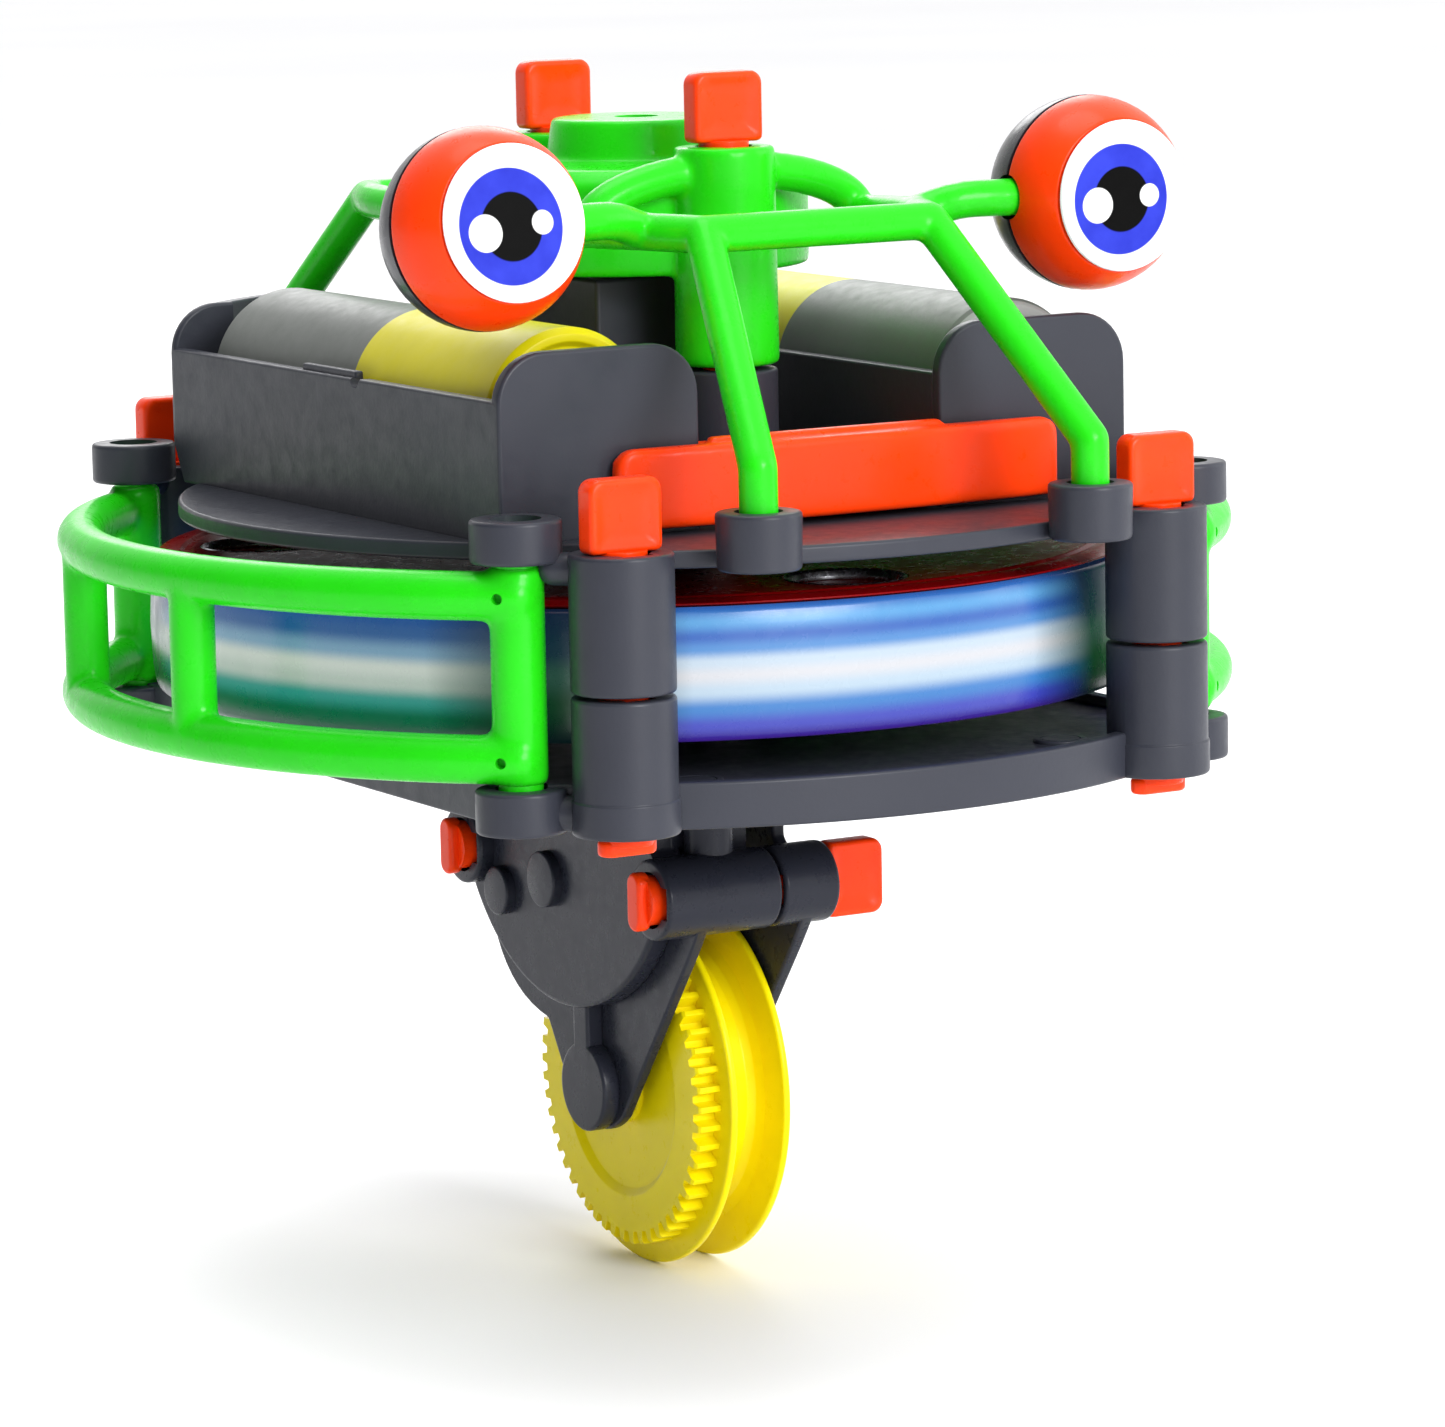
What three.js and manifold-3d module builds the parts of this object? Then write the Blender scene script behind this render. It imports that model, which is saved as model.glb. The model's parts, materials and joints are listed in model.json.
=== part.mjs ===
// Battery-powered gyroscope toy: a big-eyed little robot that balances on one grooved wheel.
// A heavy lit flywheel spins between two decks, a crown gear and two spur stages under the lower
// deck turn the wheel slowly, and orange quarter-turn pins hold the kit together.
//
// Units are millimetres and +Z is up. The robot faces -Y and +X is on its right-hand side as seen
// from the front. The origin is where the cord it rides on touches the bottom of the wheel groove.
// Everything is drawn about the vertical spin axis and moved over at the end.

import * as THREE from 'three';
import { mergeVertices } from 'three/addons/utils/BufferGeometryUtils.js';
import Module from 'manifold-3d';

const wasm = await Module();
wasm.setup();

// ---- driving dimensions ---------------------------------------------------------------------

const GAP = 0.3;                   // air left between neighbouring pieces

const GROOVE_R = 11.0;             // drive wheel: bottom of the cord groove
const GROOVE_X = 1.2;              // the groove's middle, to the right of the spin axis
const FLANGE_R = 15.2;
const AXLE_Z = GROOVE_R;

const LOWER_DECK_Z = [39.5, 43.1]; // underside and rim of the lower deck
const LOWER_DECK_R = 45.0;
const LOWER_DECK_HALF = 30.5;
const UPPER_DECK_Z = [59.1, 60.5];
const UPPER_DECK_R = 43.5;         // front and back edge
const UPPER_SHELF_R = 38.0;        // side shelf under the battery trays
const DECK_NOSE_HALF = 22.0;

const POST_X = 24.0;
const POST_Y = 39.0;
const POST_R = 4.0;
const POST_SEAM_Z = 50.1;
const RING_X = 30.1;               // sockets that hold the side guards
const RING_Y = 33.8;
const RING_R = 3.5;
const RING_HOLE_R = 2.0;
const LOWER_RING_Z = [39.5, 42.9];
const UPPER_RING_Z = [60.0, 63.3];
const LEG_X = 14.8;                // sockets that hold the legs of the head frame
const LEG_Y = 43.7;
const LEG_SOCKET_Z = [59.2, 63.6];
const HUB_POST_Y = 14.0;
const HUB_POST_Z = 71.3;

const GUARD_R = 46.0;
const GUARD_TUBE_R = 1.9;
const GUARD_POST_R = 2.1;
const GUARD_Z = [45.1, 57.5];
const GUARD_UPRIGHTS = [-11, 18];  // degrees from the robot's side, minus is towards the front

const HUB_R = 13.8;
const HUB_Z = [78.6, 87.0];
const HUB_TUBE_TOP = 88.8;
const CROWN_R = 6.9;               // raised lid in the middle of the hub
const CROWN_Z = 90.6;
const ARM_Z = 83.1;
const ARM_R = 1.5;
const KNEE_Z = 66.9;

const EYE = { x: 27.4, y: -24.6, z: 84.25, r: 7.8, flat: 4.85, wall: 1.2 };
const LEFT_EYE_TILT = 8;           // degrees; the left eye looks up a little

const CELL = { x: 19.65, z: 69.1, r: 7.15, front: -24.9, back: 25.2, nubR: 2.7, nub: 1.4 };
const TRAY = { inner: 10.9, outer: 28.4, front: -28.3, rear: 28.7, wall: 1.25, rearR: 38.3 };
const TRAY_TOP = { ends: 75.0, inner: 71.1, outer: 71.4 };
const MOTOR_BOX = { x: 8.1, y: 7.3, top: 78.2, wall: 0.9 };

const WHEEL_R = 40.4;              // flywheel
const FLYWHEEL_Z = [45.6, 56.2];
const MOTOR_R = 6.8;
const MOTOR_FLAT = 5.9;
const MOTOR_Z = [64.2, 84.2];
const SHAFT_R = 1.0;

const MODULE = 0.5;                // gear tooth module
const DRIVE_TEETH = 8;             // pinion on the flywheel shaft
const CROWN_TEETH = 20;
const CROWN_PINION_TEETH = 8;
const REDUCTION_TEETH = 28;
const REDUCTION_PINION_TEETH = 10;
const WHEEL_TEETH = 52;
const GEAR_PIN_R = 0.75;

const TUBE_R = 3.3;                // gearbox clamp tubes
const TUBE_Z = 29.1;
const FRONT_TUBE_Y = -14.8;
const BACK_TUBE_Y = 17.4;
const TUBE_X = [-8.6, 7.3];
const GEARBOX_SEAM_X = 1.9;

// Gear centres in the Y-Z plane. The reduction gear meets both the crown gear's pinion and the
// drive wheel's gear ring.
const CROWN_C = { y: 0, z: 33.5 };
const REDUCTION_C = meetingPoint(
  { y: 0, z: AXLE_Z }, MODULE * (WHEEL_TEETH + REDUCTION_PINION_TEETH) / 2,
  CROWN_C, MODULE * (REDUCTION_TEETH + CROWN_PINION_TEETH) / 2);

// ---- materials ------------------------------------------------------------------------------

function plastic(color, roughness = 0.42, metalness = 0) {
  return new THREE.MeshStandardMaterial({ color, roughness, metalness });
}

const slate = plastic(0x484a54, 0.45);
const green = plastic(0x42de28, 0.35);
const orange = plastic(0xff4b14, 0.35);
const yellow = plastic(0xebd70f, 0.3);
const darkRed = plastic(0x6e050a, 0.15);
const bandWhite = plastic(0xd8e6ff, 0.3);
const whiteGear = plastic(0xe9e7dc, 0.4);
const blackPlastic = plastic(0x1b1b1e, 0.45);
const boardGreen = plastic(0x135a2c, 0.5);
const ledClear = plastic(0xc9dcff, 0.1);
const steel = plastic(0xb9bcc2, 0.28, 1);
const brass = plastic(0xb58d3d, 0.32, 1);
const cellSleeve = plastic(0x6e736e, 0.35);
const eyeWhite = plastic(0xf4f5fa, 0.25);

// ---- solids ---------------------------------------------------------------------------------

function meetingPoint(a, ra, b, rb) {
  // the corner of a triangle on base a-b with sides ra and rb, on the side of larger y
  const dy = b.y - a.y;
  const dz = b.z - a.z;
  const base = Math.hypot(dy, dz);
  const along = (ra * ra - rb * rb + base * base) / (2 * base);
  const off = Math.sqrt(ra * ra - along * along);
  return {
    y: a.y + (along * dy + off * dz) / base,
    z: a.z + (along * dz - off * dy) / base,
  };
}

function solid(geometry) {
  const bare = geometry.clone();
  bare.deleteAttribute('normal');
  bare.deleteAttribute('uv');
  const merged = mergeVertices(bare, 1e-4);
  return new wasm.Manifold(new wasm.Mesh({
    numProp: 3,
    vertProperties: merged.attributes.position.array,
    triVerts: new Uint32Array(merged.index.array),
  }));
}

function join(...solids) {
  return solids.reduce((sum, next) => sum.add(next));
}

function cut(body, ...tools) {
  return tools.reduce((rest, tool) => rest.subtract(tool), body);
}

function block(x, y, z) {
  // a box from three [low, high] pairs
  const box = new THREE.BoxGeometry(x[1] - x[0], y[1] - y[0], z[1] - z[0]);
  return solid(box.translate((x[0] + x[1]) / 2, (y[0] + y[1]) / 2, (z[0] + z[1]) / 2));
}

const ALONG = {
  x: new THREE.Matrix4().makeRotationZ(-Math.PI / 2),
  y: new THREE.Matrix4(),
  z: new THREE.Matrix4().makeRotationX(Math.PI / 2),
};

function rod(axis, r, span, centre, sides = 16) {
  // a cylinder along an axis; centre holds its other two coordinates in x, y, z order
  const cylinder = new THREE.CylinderGeometry(r, r, span[1] - span[0], sides);
  cylinder.applyMatrix4(ALONG[axis]);
  const middle = (span[0] + span[1]) / 2;
  const at = {
    x: [middle, centre[0], centre[1]],
    y: [centre[0], middle, centre[1]],
    z: [centre[0], centre[1], middle],
  }[axis];
  return solid(cylinder.translate(...at));
}

function turned(profile, sides = 32, axis = 'z') {
  // a lathe of [radius, height] pairs, closed on the axis or on itself
  const points = profile.map(([r, h]) => new THREE.Vector2(r, h));
  if (profile[0][0] > 0) points.push(points[0].clone());
  return solid(new THREE.LatheGeometry(points, sides).applyMatrix4(ALONG[axis]));
}

function ring(inner, outer, z, sides = 32) {
  return turned([[inner, z[0]], [outer, z[0]], [outer, z[1]], [inner, z[1]]], sides);
}

function plate(shape, z, curveSegments = 7) {
  // a flat shape in X-Y raised between two heights
  const geometry = new THREE.ExtrudeGeometry(shape,
    { depth: z[1] - z[0], bevelEnabled: false, curveSegments });
  return solid(geometry.translate(0, 0, z[0]));
}

const SIDEWAYS = new THREE.Matrix4().makeBasis(
  new THREE.Vector3(0, 1, 0), new THREE.Vector3(0, 0, 1), new THREE.Vector3(1, 0, 0));

function sidePlate(shape, x, curveSegments = 5) {
  // a flat shape in Y-Z raised between two x positions
  const geometry = new THREE.ExtrudeGeometry(shape,
    { depth: x[1] - x[0], bevelEnabled: false, curveSegments });
  return solid(geometry.applyMatrix4(SIDEWAYS).translate(x[0], 0, 0));
}

const UPRIGHT = new THREE.Matrix4().makeBasis(
  new THREE.Vector3(1, 0, 0), new THREE.Vector3(0, 0, 1), new THREE.Vector3(0, -1, 0));

function frontPlate(shape, y) {
  // a flat shape in X-Z raised between two y positions
  const geometry = new THREE.ExtrudeGeometry(shape,
    { depth: y[1] - y[0], bevelEnabled: false, curveSegments: 2 });
  return solid(geometry.applyMatrix4(UPRIGHT).translate(0, y[1], 0));
}

function sweep(curve, r, steps, sides) {
  const section = [];
  for (let i = 0; i < sides; i++) {
    const angle = i * 2 * Math.PI / sides;
    section.push(new THREE.Vector2(r * Math.cos(angle), r * Math.sin(angle)));
  }
  const geometry = new THREE.ExtrudeGeometry(new THREE.Shape(section),
    { steps, extrudePath: curve, bevelEnabled: false });
  return solid(geometry);
}

function bar(points, r, steps = 1, sides = 8) {
  // a round bar along straight or smoothly bent points
  const line = points.map((p) => new THREE.Vector3(...p));
  const curve = line.length === 2
    ? new THREE.LineCurve3(line[0], line[1])
    : new THREE.CatmullRomCurve3(line);
  return sweep(curve, r, steps, sides);
}

function ball(r, at) {
  return solid(new THREE.SphereGeometry(r, 8, 4).translate(...at));
}

function mirrored(body, ...axes) {
  // mirror images of a body across the planes named by their normals
  return axes.reduce((shape, axis) => shape.mirror([axis === 'x' ? 1 : 0, axis === 'y' ? 1 : 0, 0]),
    body);
}

function bothSides(body, axis) {
  return body.add(mirrored(body, axis));
}

function fourfold(body) {
  return bothSides(bothSides(body, 'x'), 'y');
}

function roundedPanel(half, height, radius) {
  // an upright panel outline, its top corners rounded
  const shape = new THREE.Shape();
  shape.moveTo(-half, 0);
  shape.lineTo(half, 0);
  shape.lineTo(half, height - radius);
  shape.absarc(half - radius, height - radius, radius, 0, Math.PI / 2, false);
  shape.lineTo(-half + radius, height);
  shape.absarc(-half + radius, height - radius, radius, Math.PI / 2, Math.PI, false);
  return shape;
}

function gearShape(teeth, share = 0.4) {
  // trapezoidal teeth; share is the part of the pitch that a tooth fills at the pitch circle
  const pitchR = MODULE * teeth / 2;
  const tipR = pitchR + 0.9 * MODULE;
  const rootR = pitchR - 1.25 * MODULE;
  const pitch = 2 * Math.PI / teeth;
  const shape = new THREE.Shape();
  for (let i = 0; i < teeth; i++) {
    const corners = [[rootR, -0.62], [tipR, -0.3], [tipR, 0.3], [rootR, 0.62]];
    corners.forEach(([r, part], k) => {
      const angle = (i + part * share * 1.25) * pitch;
      const go = i + k === 0 ? 'moveTo' : 'lineTo';
      shape[go](r * Math.cos(angle), r * Math.sin(angle));
    });
  }
  return shape;
}

function gear(teeth, x, centre, turn = 0, share = 0.4) {
  // a spur gear on an X axis, turned by a share of its tooth pitch
  const geometry = new THREE.ExtrudeGeometry(gearShape(teeth, share),
    { depth: x[1] - x[0], bevelEnabled: false });
  geometry.rotateZ(turn * 2 * Math.PI / teeth);
  geometry.applyMatrix4(SIDEWAYS).translate(x[0], centre.y, centre.z);
  return solid(geometry);
}

// ---- decks ----------------------------------------------------------------------------------

function lowerDeckOutline(inset = 0) {
  const r = LOWER_DECK_R - inset;
  const half = LOWER_DECK_HALF - inset;
  const corner = Math.acos(half / r);
  const shape = new THREE.Shape();
  shape.absarc(0, 0, r, corner, Math.PI - corner, false);
  shape.absarc(0, 0, r, Math.PI + corner, -corner, false);
  return shape;
}

function upperDeckOutline() {
  const nose = Math.acos(DECK_NOSE_HALF / UPPER_DECK_R);
  const side = Math.acos(DECK_NOSE_HALF / UPPER_SHELF_R);
  const shape = new THREE.Shape();
  shape.absarc(0, 0, UPPER_SHELF_R, -side, side, false);
  shape.absarc(0, 0, UPPER_DECK_R, nose, Math.PI - nose, false);
  shape.absarc(0, 0, UPPER_SHELF_R, Math.PI - side, Math.PI + side, false);
  shape.absarc(0, 0, UPPER_DECK_R, Math.PI + nose, -nose, false);
  return shape;
}

const PIN_BORE_R = 2.3;
const KEY_SLOT = { half: 2.75, depth: 1.3 };

function keyway(x, y, z) {
  // the round bore for a pin, with the slot its end bar passes through
  return rod('z', PIN_BORE_R, z, [x, y], 10).add(
    block([x - KEY_SLOT.depth, x + KEY_SLOT.depth], [y - KEY_SLOT.half, y + KEY_SLOT.half], z));
}

function guardRings(z, webZ) {
  // one ring and the web that ties it to its post, then its three mirror images
  const web = bar([[RING_X - 2.2, RING_Y + 1.9, webZ], [POST_X, POST_Y, webZ]], 1.2, 1, 6);
  return fourfold(rod('z', RING_R, z, [RING_X, RING_Y], 14).add(web));
}

function ringHoles(z) {
  return fourfold(rod('z', RING_HOLE_R, [z[0] - 1, z[1] + 1], [RING_X, RING_Y], 10));
}

const BEARING = { r: 2.6, z: [40.6, 43.4] };
const GEARBOX_SCREWS = [[-2.5, -13.8], [-2.5, 15.6]];

function lowerDeck() {
  const [bottom, top] = LOWER_DECK_Z;
  const floor = top - 0.8;
  const skin = 1.5;
  let body = plate(lowerDeckOutline(), [bottom, top]);
  body = cut(body,
    plate(lowerDeckOutline(1.3), [floor, top + 1]),
    plate(lowerDeckOutline(1.6), [bottom - 1, floor - skin]));
  const posts = fourfold(rod('z', POST_R, [bottom, POST_SEAM_Z - GAP / 2], [POST_X, POST_Y]));
  const bearingSeat = rod('z', BEARING.r + 1.6, [bottom + 0.2, floor + 0.4], [0, 0]);
  const stiffener = ring(23, 24.2, [bottom + 0.3, floor - 0.5], 20);
  const studs = fourfold(rod('z', 2.1, [floor - 1, floor + 0.3], [16.5, 36.5], 10));
  const sockets = guardRings(LOWER_RING_Z, LOWER_RING_Z[0] + 1.2);
  body = join(body, posts, sockets, bearingSeat, stiffener, studs);
  const keyways = fourfold(keyway(POST_X, POST_Y, [bottom - 1, POST_SEAM_Z + 1]));
  const screwHoles = GEARBOX_SCREWS.map((at) => rod('z', 1.25, [bottom - 1, top + 1], at, 12));
  return cut(body, keyways, ringHoles(LOWER_RING_Z), ...screwHoles,
    rod('z', BEARING.r + 0.05, [BEARING.z[0] - GAP, top + 1], [0, 0]),
    rod('z', SHAFT_R + 0.5, [bottom - 1, top], [0, 0], 16));
}

function batteryTray() {
  // the right-hand tray; its floor is the deck
  const base = UPPER_DECK_Z[1] - 0.2;
  const { inner, outer, front, rear, wall, rearR } = TRAY;
  const panel = roundedPanel((outer - inner) / 2, TRAY_TOP.ends - base, 4);
  const endWall = (y) => frontPlate(panel, y).translate([(inner + outer) / 2, 0, base]);
  const ribEnd = 23.4;
  const contactRib = block([inner, ribEnd], [rear, rear + 1], [base, TRAY_TOP.inner]);
  const rearCorner = endWall([rear, rear + 0.9])
    .intersect(block([ribEnd - 0.5, outer], [rear - 1, rear + 2], [base, TRAY_TOP.ends]));
  const innerWall = block([inner, inner + wall], [front + wall + 0.1, 33], [base, TRAY_TOP.inner]);
  const outerWall = block([outer - wall, outer], [front + 0.5, rear + 0.5], [base, TRAY_TOP.outer]);
  const snap = { y: [-3.6, 5.8], height: 0.5, notchR: 0.75 };
  const snapTab = block([outer - wall, outer - 0.5], snap.y,
    [TRAY_TOP.outer - 1, TRAY_TOP.outer + snap.height]);
  const notch = rod('x', snap.notchR, [outer - 2 * wall, outer + 1],
    [snap.y[0] - snap.notchR, TRAY_TOP.outer], 10);
  const flare = turned([[0, base - 1], [rearR + 1.3, base - 1], [rearR + 1.3, base],
    [rearR + 3, base + 4.5], [rearR + 3, TRAY_TOP.ends + 1], [0, TRAY_TOP.ends + 1]], 56);
  const outside = join(cut(outerWall.add(snapTab), notch), rearCorner).intersect(flare);
  const rearWall = ring(rearR - 1.2, rearR, [base, TRAY_TOP.ends], 56)
    .intersect(block([inner, ribEnd + 0.9], [20, 40], [base - 1, TRAY_TOP.ends + 1]));
  const legNotch = block([inner - 1, 15.4], [30, 40], [TRAY_TOP.inner, TRAY_TOP.ends + 1]);
  const cradles = join(
    block([13.4, 24.6], [-15, -13.6], [base, 64.4]),
    block([13.4, 24.6], [14, 15.4], [base, 64.4]));
  const seat = rod('y', CELL.r + GAP, [CELL.front - 1, CELL.back + 1], [CELL.x, CELL.z], 20);
  return join(endWall([front, front + wall]), innerWall, outside, cut(rearWall, legNotch),
    contactRib, cut(cradles, seat));
}

function motorBox() {
  const { x, y, top, wall } = MOTOR_BOX;
  const base = UPPER_DECK_Z[0];
  const hollow = block([-x + wall, x - wall], [-y + wall, y - wall], [base + 2.2, top + 1]);
  return cut(block([-x, x], [-y, y], [base, top]), hollow,
    rod('z', 3.4, [base - 1, base + 4], [0, 0]));
}

const SWITCH_POCKET = { x: 4.6, y: [-24.9, -20.1] };

function upperDeck() {
  const [bottom, top] = UPPER_DECK_Z;
  const base = plate(upperDeckOutline(), [bottom, top], 8);
  const posts = fourfold(rod('z', POST_R, [POST_SEAM_Z + GAP / 2, top], [POST_X, POST_Y]));
  const sockets = fourfold(rod('z', 3.25, LEG_SOCKET_Z, [LEG_X, LEG_Y], 12));
  const hubPosts = bothSides(rod('z', POST_R, [top - 1, HUB_POST_Z - GAP / 2], [0, HUB_POST_Y]), 'y');
  const body = join(base, posts, guardRings(UPPER_RING_Z, UPPER_DECK_Z[1] - 1.2), sockets, hubPosts,
    bothSides(batteryTray(), 'x'), motorBox());
  const keyways = fourfold(keyway(POST_X, POST_Y, [POST_SEAM_Z - 1, top + 1]));
  const hubKeyways = bothSides(keyway(0, HUB_POST_Y, [bottom - 1, HUB_POST_Z + 1]), 'y');
  const legHoles = fourfold(rod('z', 1.85, [LEG_SOCKET_Z[0] + 1.2, LEG_SOCKET_Z[1] + 1],
    [LEG_X, LEG_Y], 8));
  return cut(body, keyways, hubKeyways, legHoles, ringHoles(UPPER_RING_Z),
    rod('z', 2.0, [bottom - 1, top + 2], [0, 0]));
}

// ---- side guards ----------------------------------------------------------------------------

function aroundAxis(r, degrees, z) {
  const angle = THREE.MathUtils.degToRad(degrees);
  return [r * Math.cos(angle), r * Math.sin(angle), z];
}

function rightGuard() {
  const reach = THREE.MathUtils.radToDeg(Math.atan2(RING_Y, RING_X));
  const arc = (z) => {
    const points = [];
    for (let i = 0; i <= 8; i++) points.push(aroundAxis(GUARD_R, reach * (i / 4 - 1), z));
    return bar(points, GUARD_TUBE_R, 10);
  };
  const uprights = GUARD_UPRIGHTS.map((angle) => bar(
    [aroundAxis(GUARD_R, angle, GUARD_Z[0]), aroundAxis(GUARD_R, angle, GUARD_Z[1])], 1.8));
  const endPost = join(
    rod('z', GUARD_POST_R, [LOWER_RING_Z[1] + GAP, UPPER_RING_Z[0] - GAP], [RING_X, RING_Y], 12),
    rod('z', RING_HOLE_R - GAP, [LOWER_RING_Z[0] + 0.8, UPPER_RING_Z[1] - 0.9], [RING_X, RING_Y], 8));
  return join(...GUARD_Z.map(arc), ...uprights, bothSides(endPost, 'y'));
}

// ---- head frame and eyes --------------------------------------------------------------------

const ARM_NODE = [10.2, -28.3, ARM_Z];      // where a leg leaves the crossbar
const ARM_ELBOW = [12.2, -22.4, ARM_Z];     // where the eye arm leaves
const ARM_ROOT = [12.3, -13.4, ARM_Z - 0.3]; // where the arched rib lands

const HUB_SCREW = { seatR: 1.8, sunk: 0.9, holeR: 0.8 };

function hubBody() {
  const [bottom, shoulder] = HUB_Z;
  const shell = turned([
    [0, bottom], [HUB_R, bottom], [HUB_R, shoulder - 1.2], [HUB_R - 1.2, shoulder],
    [CROWN_R + 0.3, shoulder + 0.3], [CROWN_R, CROWN_Z], [HUB_SCREW.seatR, CROWN_Z],
    [HUB_SCREW.seatR, CROWN_Z - HUB_SCREW.sunk], [0, CROWN_Z - HUB_SCREW.sunk]], 32);
  const tubes = bothSides(rod('z', POST_R + 0.05, [HUB_POST_Z + GAP / 2, HUB_TUBE_TOP],
    [0, HUB_POST_Y]), 'y');
  const hollow = rod('z', HUB_R - 1.3, [bottom - 1, shoulder - 1.4], [0, 0], 24);
  const crownHollow = rod('z', CROWN_R - 1.4, [bottom, CROWN_Z - 2], [0, 0], 16);
  return join(cut(shell, hollow, crownHollow), tubes);
}

function frameArms() {
  // the right front quarter: crossbar half, arm, arched rib and leg
  const knee = [LEG_X, -LEG_Y, KNEE_Z];
  const crossbar = bar([[0, ARM_NODE[1], ARM_Z], ARM_NODE], ARM_R);
  const arm = bar([ARM_NODE, ARM_ELBOW, ARM_ROOT], ARM_R, 4);
  const rise = HUB_TUBE_TOP - 1.9 - ARM_ROOT[2];
  const rib = [];
  for (let i = 0; i <= 4; i++) {
    const turn = (i / 4) * Math.PI / 2;
    rib.push([ARM_ROOT[0] * Math.sin(turn), -HUB_POST_Y, ARM_ROOT[2] + rise * Math.cos(turn)]);
  }
  const leg = bar([ARM_NODE, knee], ARM_R);
  const foot = bar([knee, [LEG_X, -LEG_Y, LEG_SOCKET_Z[0] + 1.6]], ARM_R);
  return join(crossbar, arm, bar(rib, ARM_R, 4), leg, foot, ball(ARM_R, ARM_NODE),
    ball(ARM_R, knee));
}

function eyeArm() {
  const inner = EYE.x - EYE.r;
  return bar([ARM_ELBOW, [15.6, -23.9, EYE.z - 0.1], [inner - 0.3, EYE.y, EYE.z],
    [inner + 2.4, EYE.y, EYE.z]], ARM_R, 5);
}

function headFrame() {
  const body = join(hubBody(), fourfold(frameArms()), bothSides(eyeArm(), 'x'));
  const keyways = bothSides(keyway(0, HUB_POST_Y, [HUB_POST_Z - 1, HUB_TUBE_TOP + 1]), 'y');
  const screwHole = rod('z', HUB_SCREW.holeR, [CROWN_Z - 3, CROWN_Z + 1], [0, 0], 12);
  const motorRoom = rod('z', MOTOR_R + 0.5, [HUB_Z[0] - 1, 86.5], [0, 0], 32);
  return cut(body, keyways, screwHole, motorRoom);
}

function eyeShell(sign) {
  // a half ball on the side of y where sign points, open at the seam
  const { r, wall, flat } = EYE;
  const halfSpace = sign < 0
    ? block([-10, 10], [-flat, -GAP / 2], [-10, 10])
    : block([-10, 10], [GAP / 2, 10], [-10, 10]);
  const outer = solid(new THREE.SphereGeometry(r, 18, 12));
  const inner = solid(new THREE.SphereGeometry(r - wall, 12, 8));
  const keep = sign < 0
    ? block([-10, 10], [-flat + wall, 10], [-10, 10])
    : block([-10, 10], [-10, 10], [-10, 10]);
  return cut(outer.intersect(halfSpace), inner.intersect(keep));
}

function eyeParts(side) {
  // shells, and the printed disc on the flat front; the arm enters on the inner side
  const armHole = rod('x', ARM_R + GAP, [-side * 0.5, -side * 9].sort((a, b) => a - b), [0, 0], 12);
  const tilt = side < 0 ? LEFT_EYE_TILT : 0;
  const place = (body) => body.rotate([-tilt, 0, 0]).translate([side * EYE.x, EYE.y, EYE.z]);
  const face = rod('y', Math.sqrt(EYE.r ** 2 - EYE.flat ** 2) - 0.05,
    [-EYE.flat - GAP - 0.35, -EYE.flat - GAP], [0, 0], 24);
  return {
    front: place(cut(eyeShell(-1), armHole)),
    back: place(cut(eyeShell(1), armHole)),
    face: place(face),
  };
}

// ---- pins -----------------------------------------------------------------------------------

const PIN = { headWide: 3.1, headThick: 1.1, headHigh: 5.6, shankR: 2.0, barHalf: 2.4, barThick: 1.0 };

function quarterTurnPin(length, headHigh = PIN.headHigh) {
  // stands on z = 0, the face under its head; the shank hangs below and ends in a cross bar
  const head = frontPlate(roundedPanel(PIN.headWide, headHigh, 1),
    [-PIN.headThick, PIN.headThick]).translate([0, 0, GAP]);
  const shank = rod('z', PIN.shankR, [-length - GAP - 0.5, GAP + 0.5], [0, 0], 10);
  const endBar = block([-PIN.barHalf, PIN.barHalf], [-PIN.barThick, PIN.barThick],
    [-length - GAP - 1.3, -length - GAP]);
  return join(head, shank, endBar);
}

// ---- battery cells and contacts -------------------------------------------------------------

function batteryCell(side, nubEnd) {
  // nubEnd is -1 when the positive end faces the front
  const { x, z, r, front, back, nub, nubR } = CELL;
  const span = nubEnd < 0 ? [front + nub, back] : [front, back - nub];
  const nubSpan = nubEnd < 0 ? [front, front + nub + 0.1] : [back - nub - 0.1, back];
  return rod('y', r, span, [side * x, z], 24).add(rod('y', nubR, nubSpan, [side * x, z], 12));
}

class Coil extends THREE.Curve {
  constructor(turns, radii, span) {
    super();
    Object.assign(this, { turns, radii, span });
  }

  getPoint(t) {
    const angle = t * this.turns * 2 * Math.PI;
    const r = this.radii[0] + (this.radii[1] - this.radii[0]) * t;
    const y = this.span[0] + (this.span[1] - this.span[0]) * t;
    return new THREE.Vector3(r * Math.cos(angle), y, r * Math.sin(angle));
  }
}

function contactSpring(side, wide, narrow) {
  return sweep(new Coil(2, [3.4, 2.2], [wide, narrow]), 0.3, 18, 5)
    .translate([side * CELL.x, 0, CELL.z]);
}

function contactPlate(side, y, nubEnd) {
  // a thin strip with a pressed-out dome that meets the cell
  const strip = block([-4, 4], [y - 0.2, y + 0.2], [-4.5, 3.5]);
  const dome = nubEnd < 0
    ? rod('y', 2.2, [y, CELL.front - GAP], [0, 0], 12)
    : rod('y', 2.2, [CELL.back + GAP, y], [0, 0], 12);
  return strip.add(dome).translate([side * CELL.x, 0, CELL.z]);
}

// ---- switch ---------------------------------------------------------------------------------

const SLIDER = {
  half: 20.0, x: 1.0, front: -31.4, bow: 1.9, back: -28.6, corner: 1.1, endR: 1.7,
  tongue: { half: 8.6, back: -19.2, top: 66.2 },
  strip: { x: [-11.6, 9.2], deep: 1.2, top: 67.65 },
};
const SLIDER_Z = [60.95, 67.2];

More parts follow.
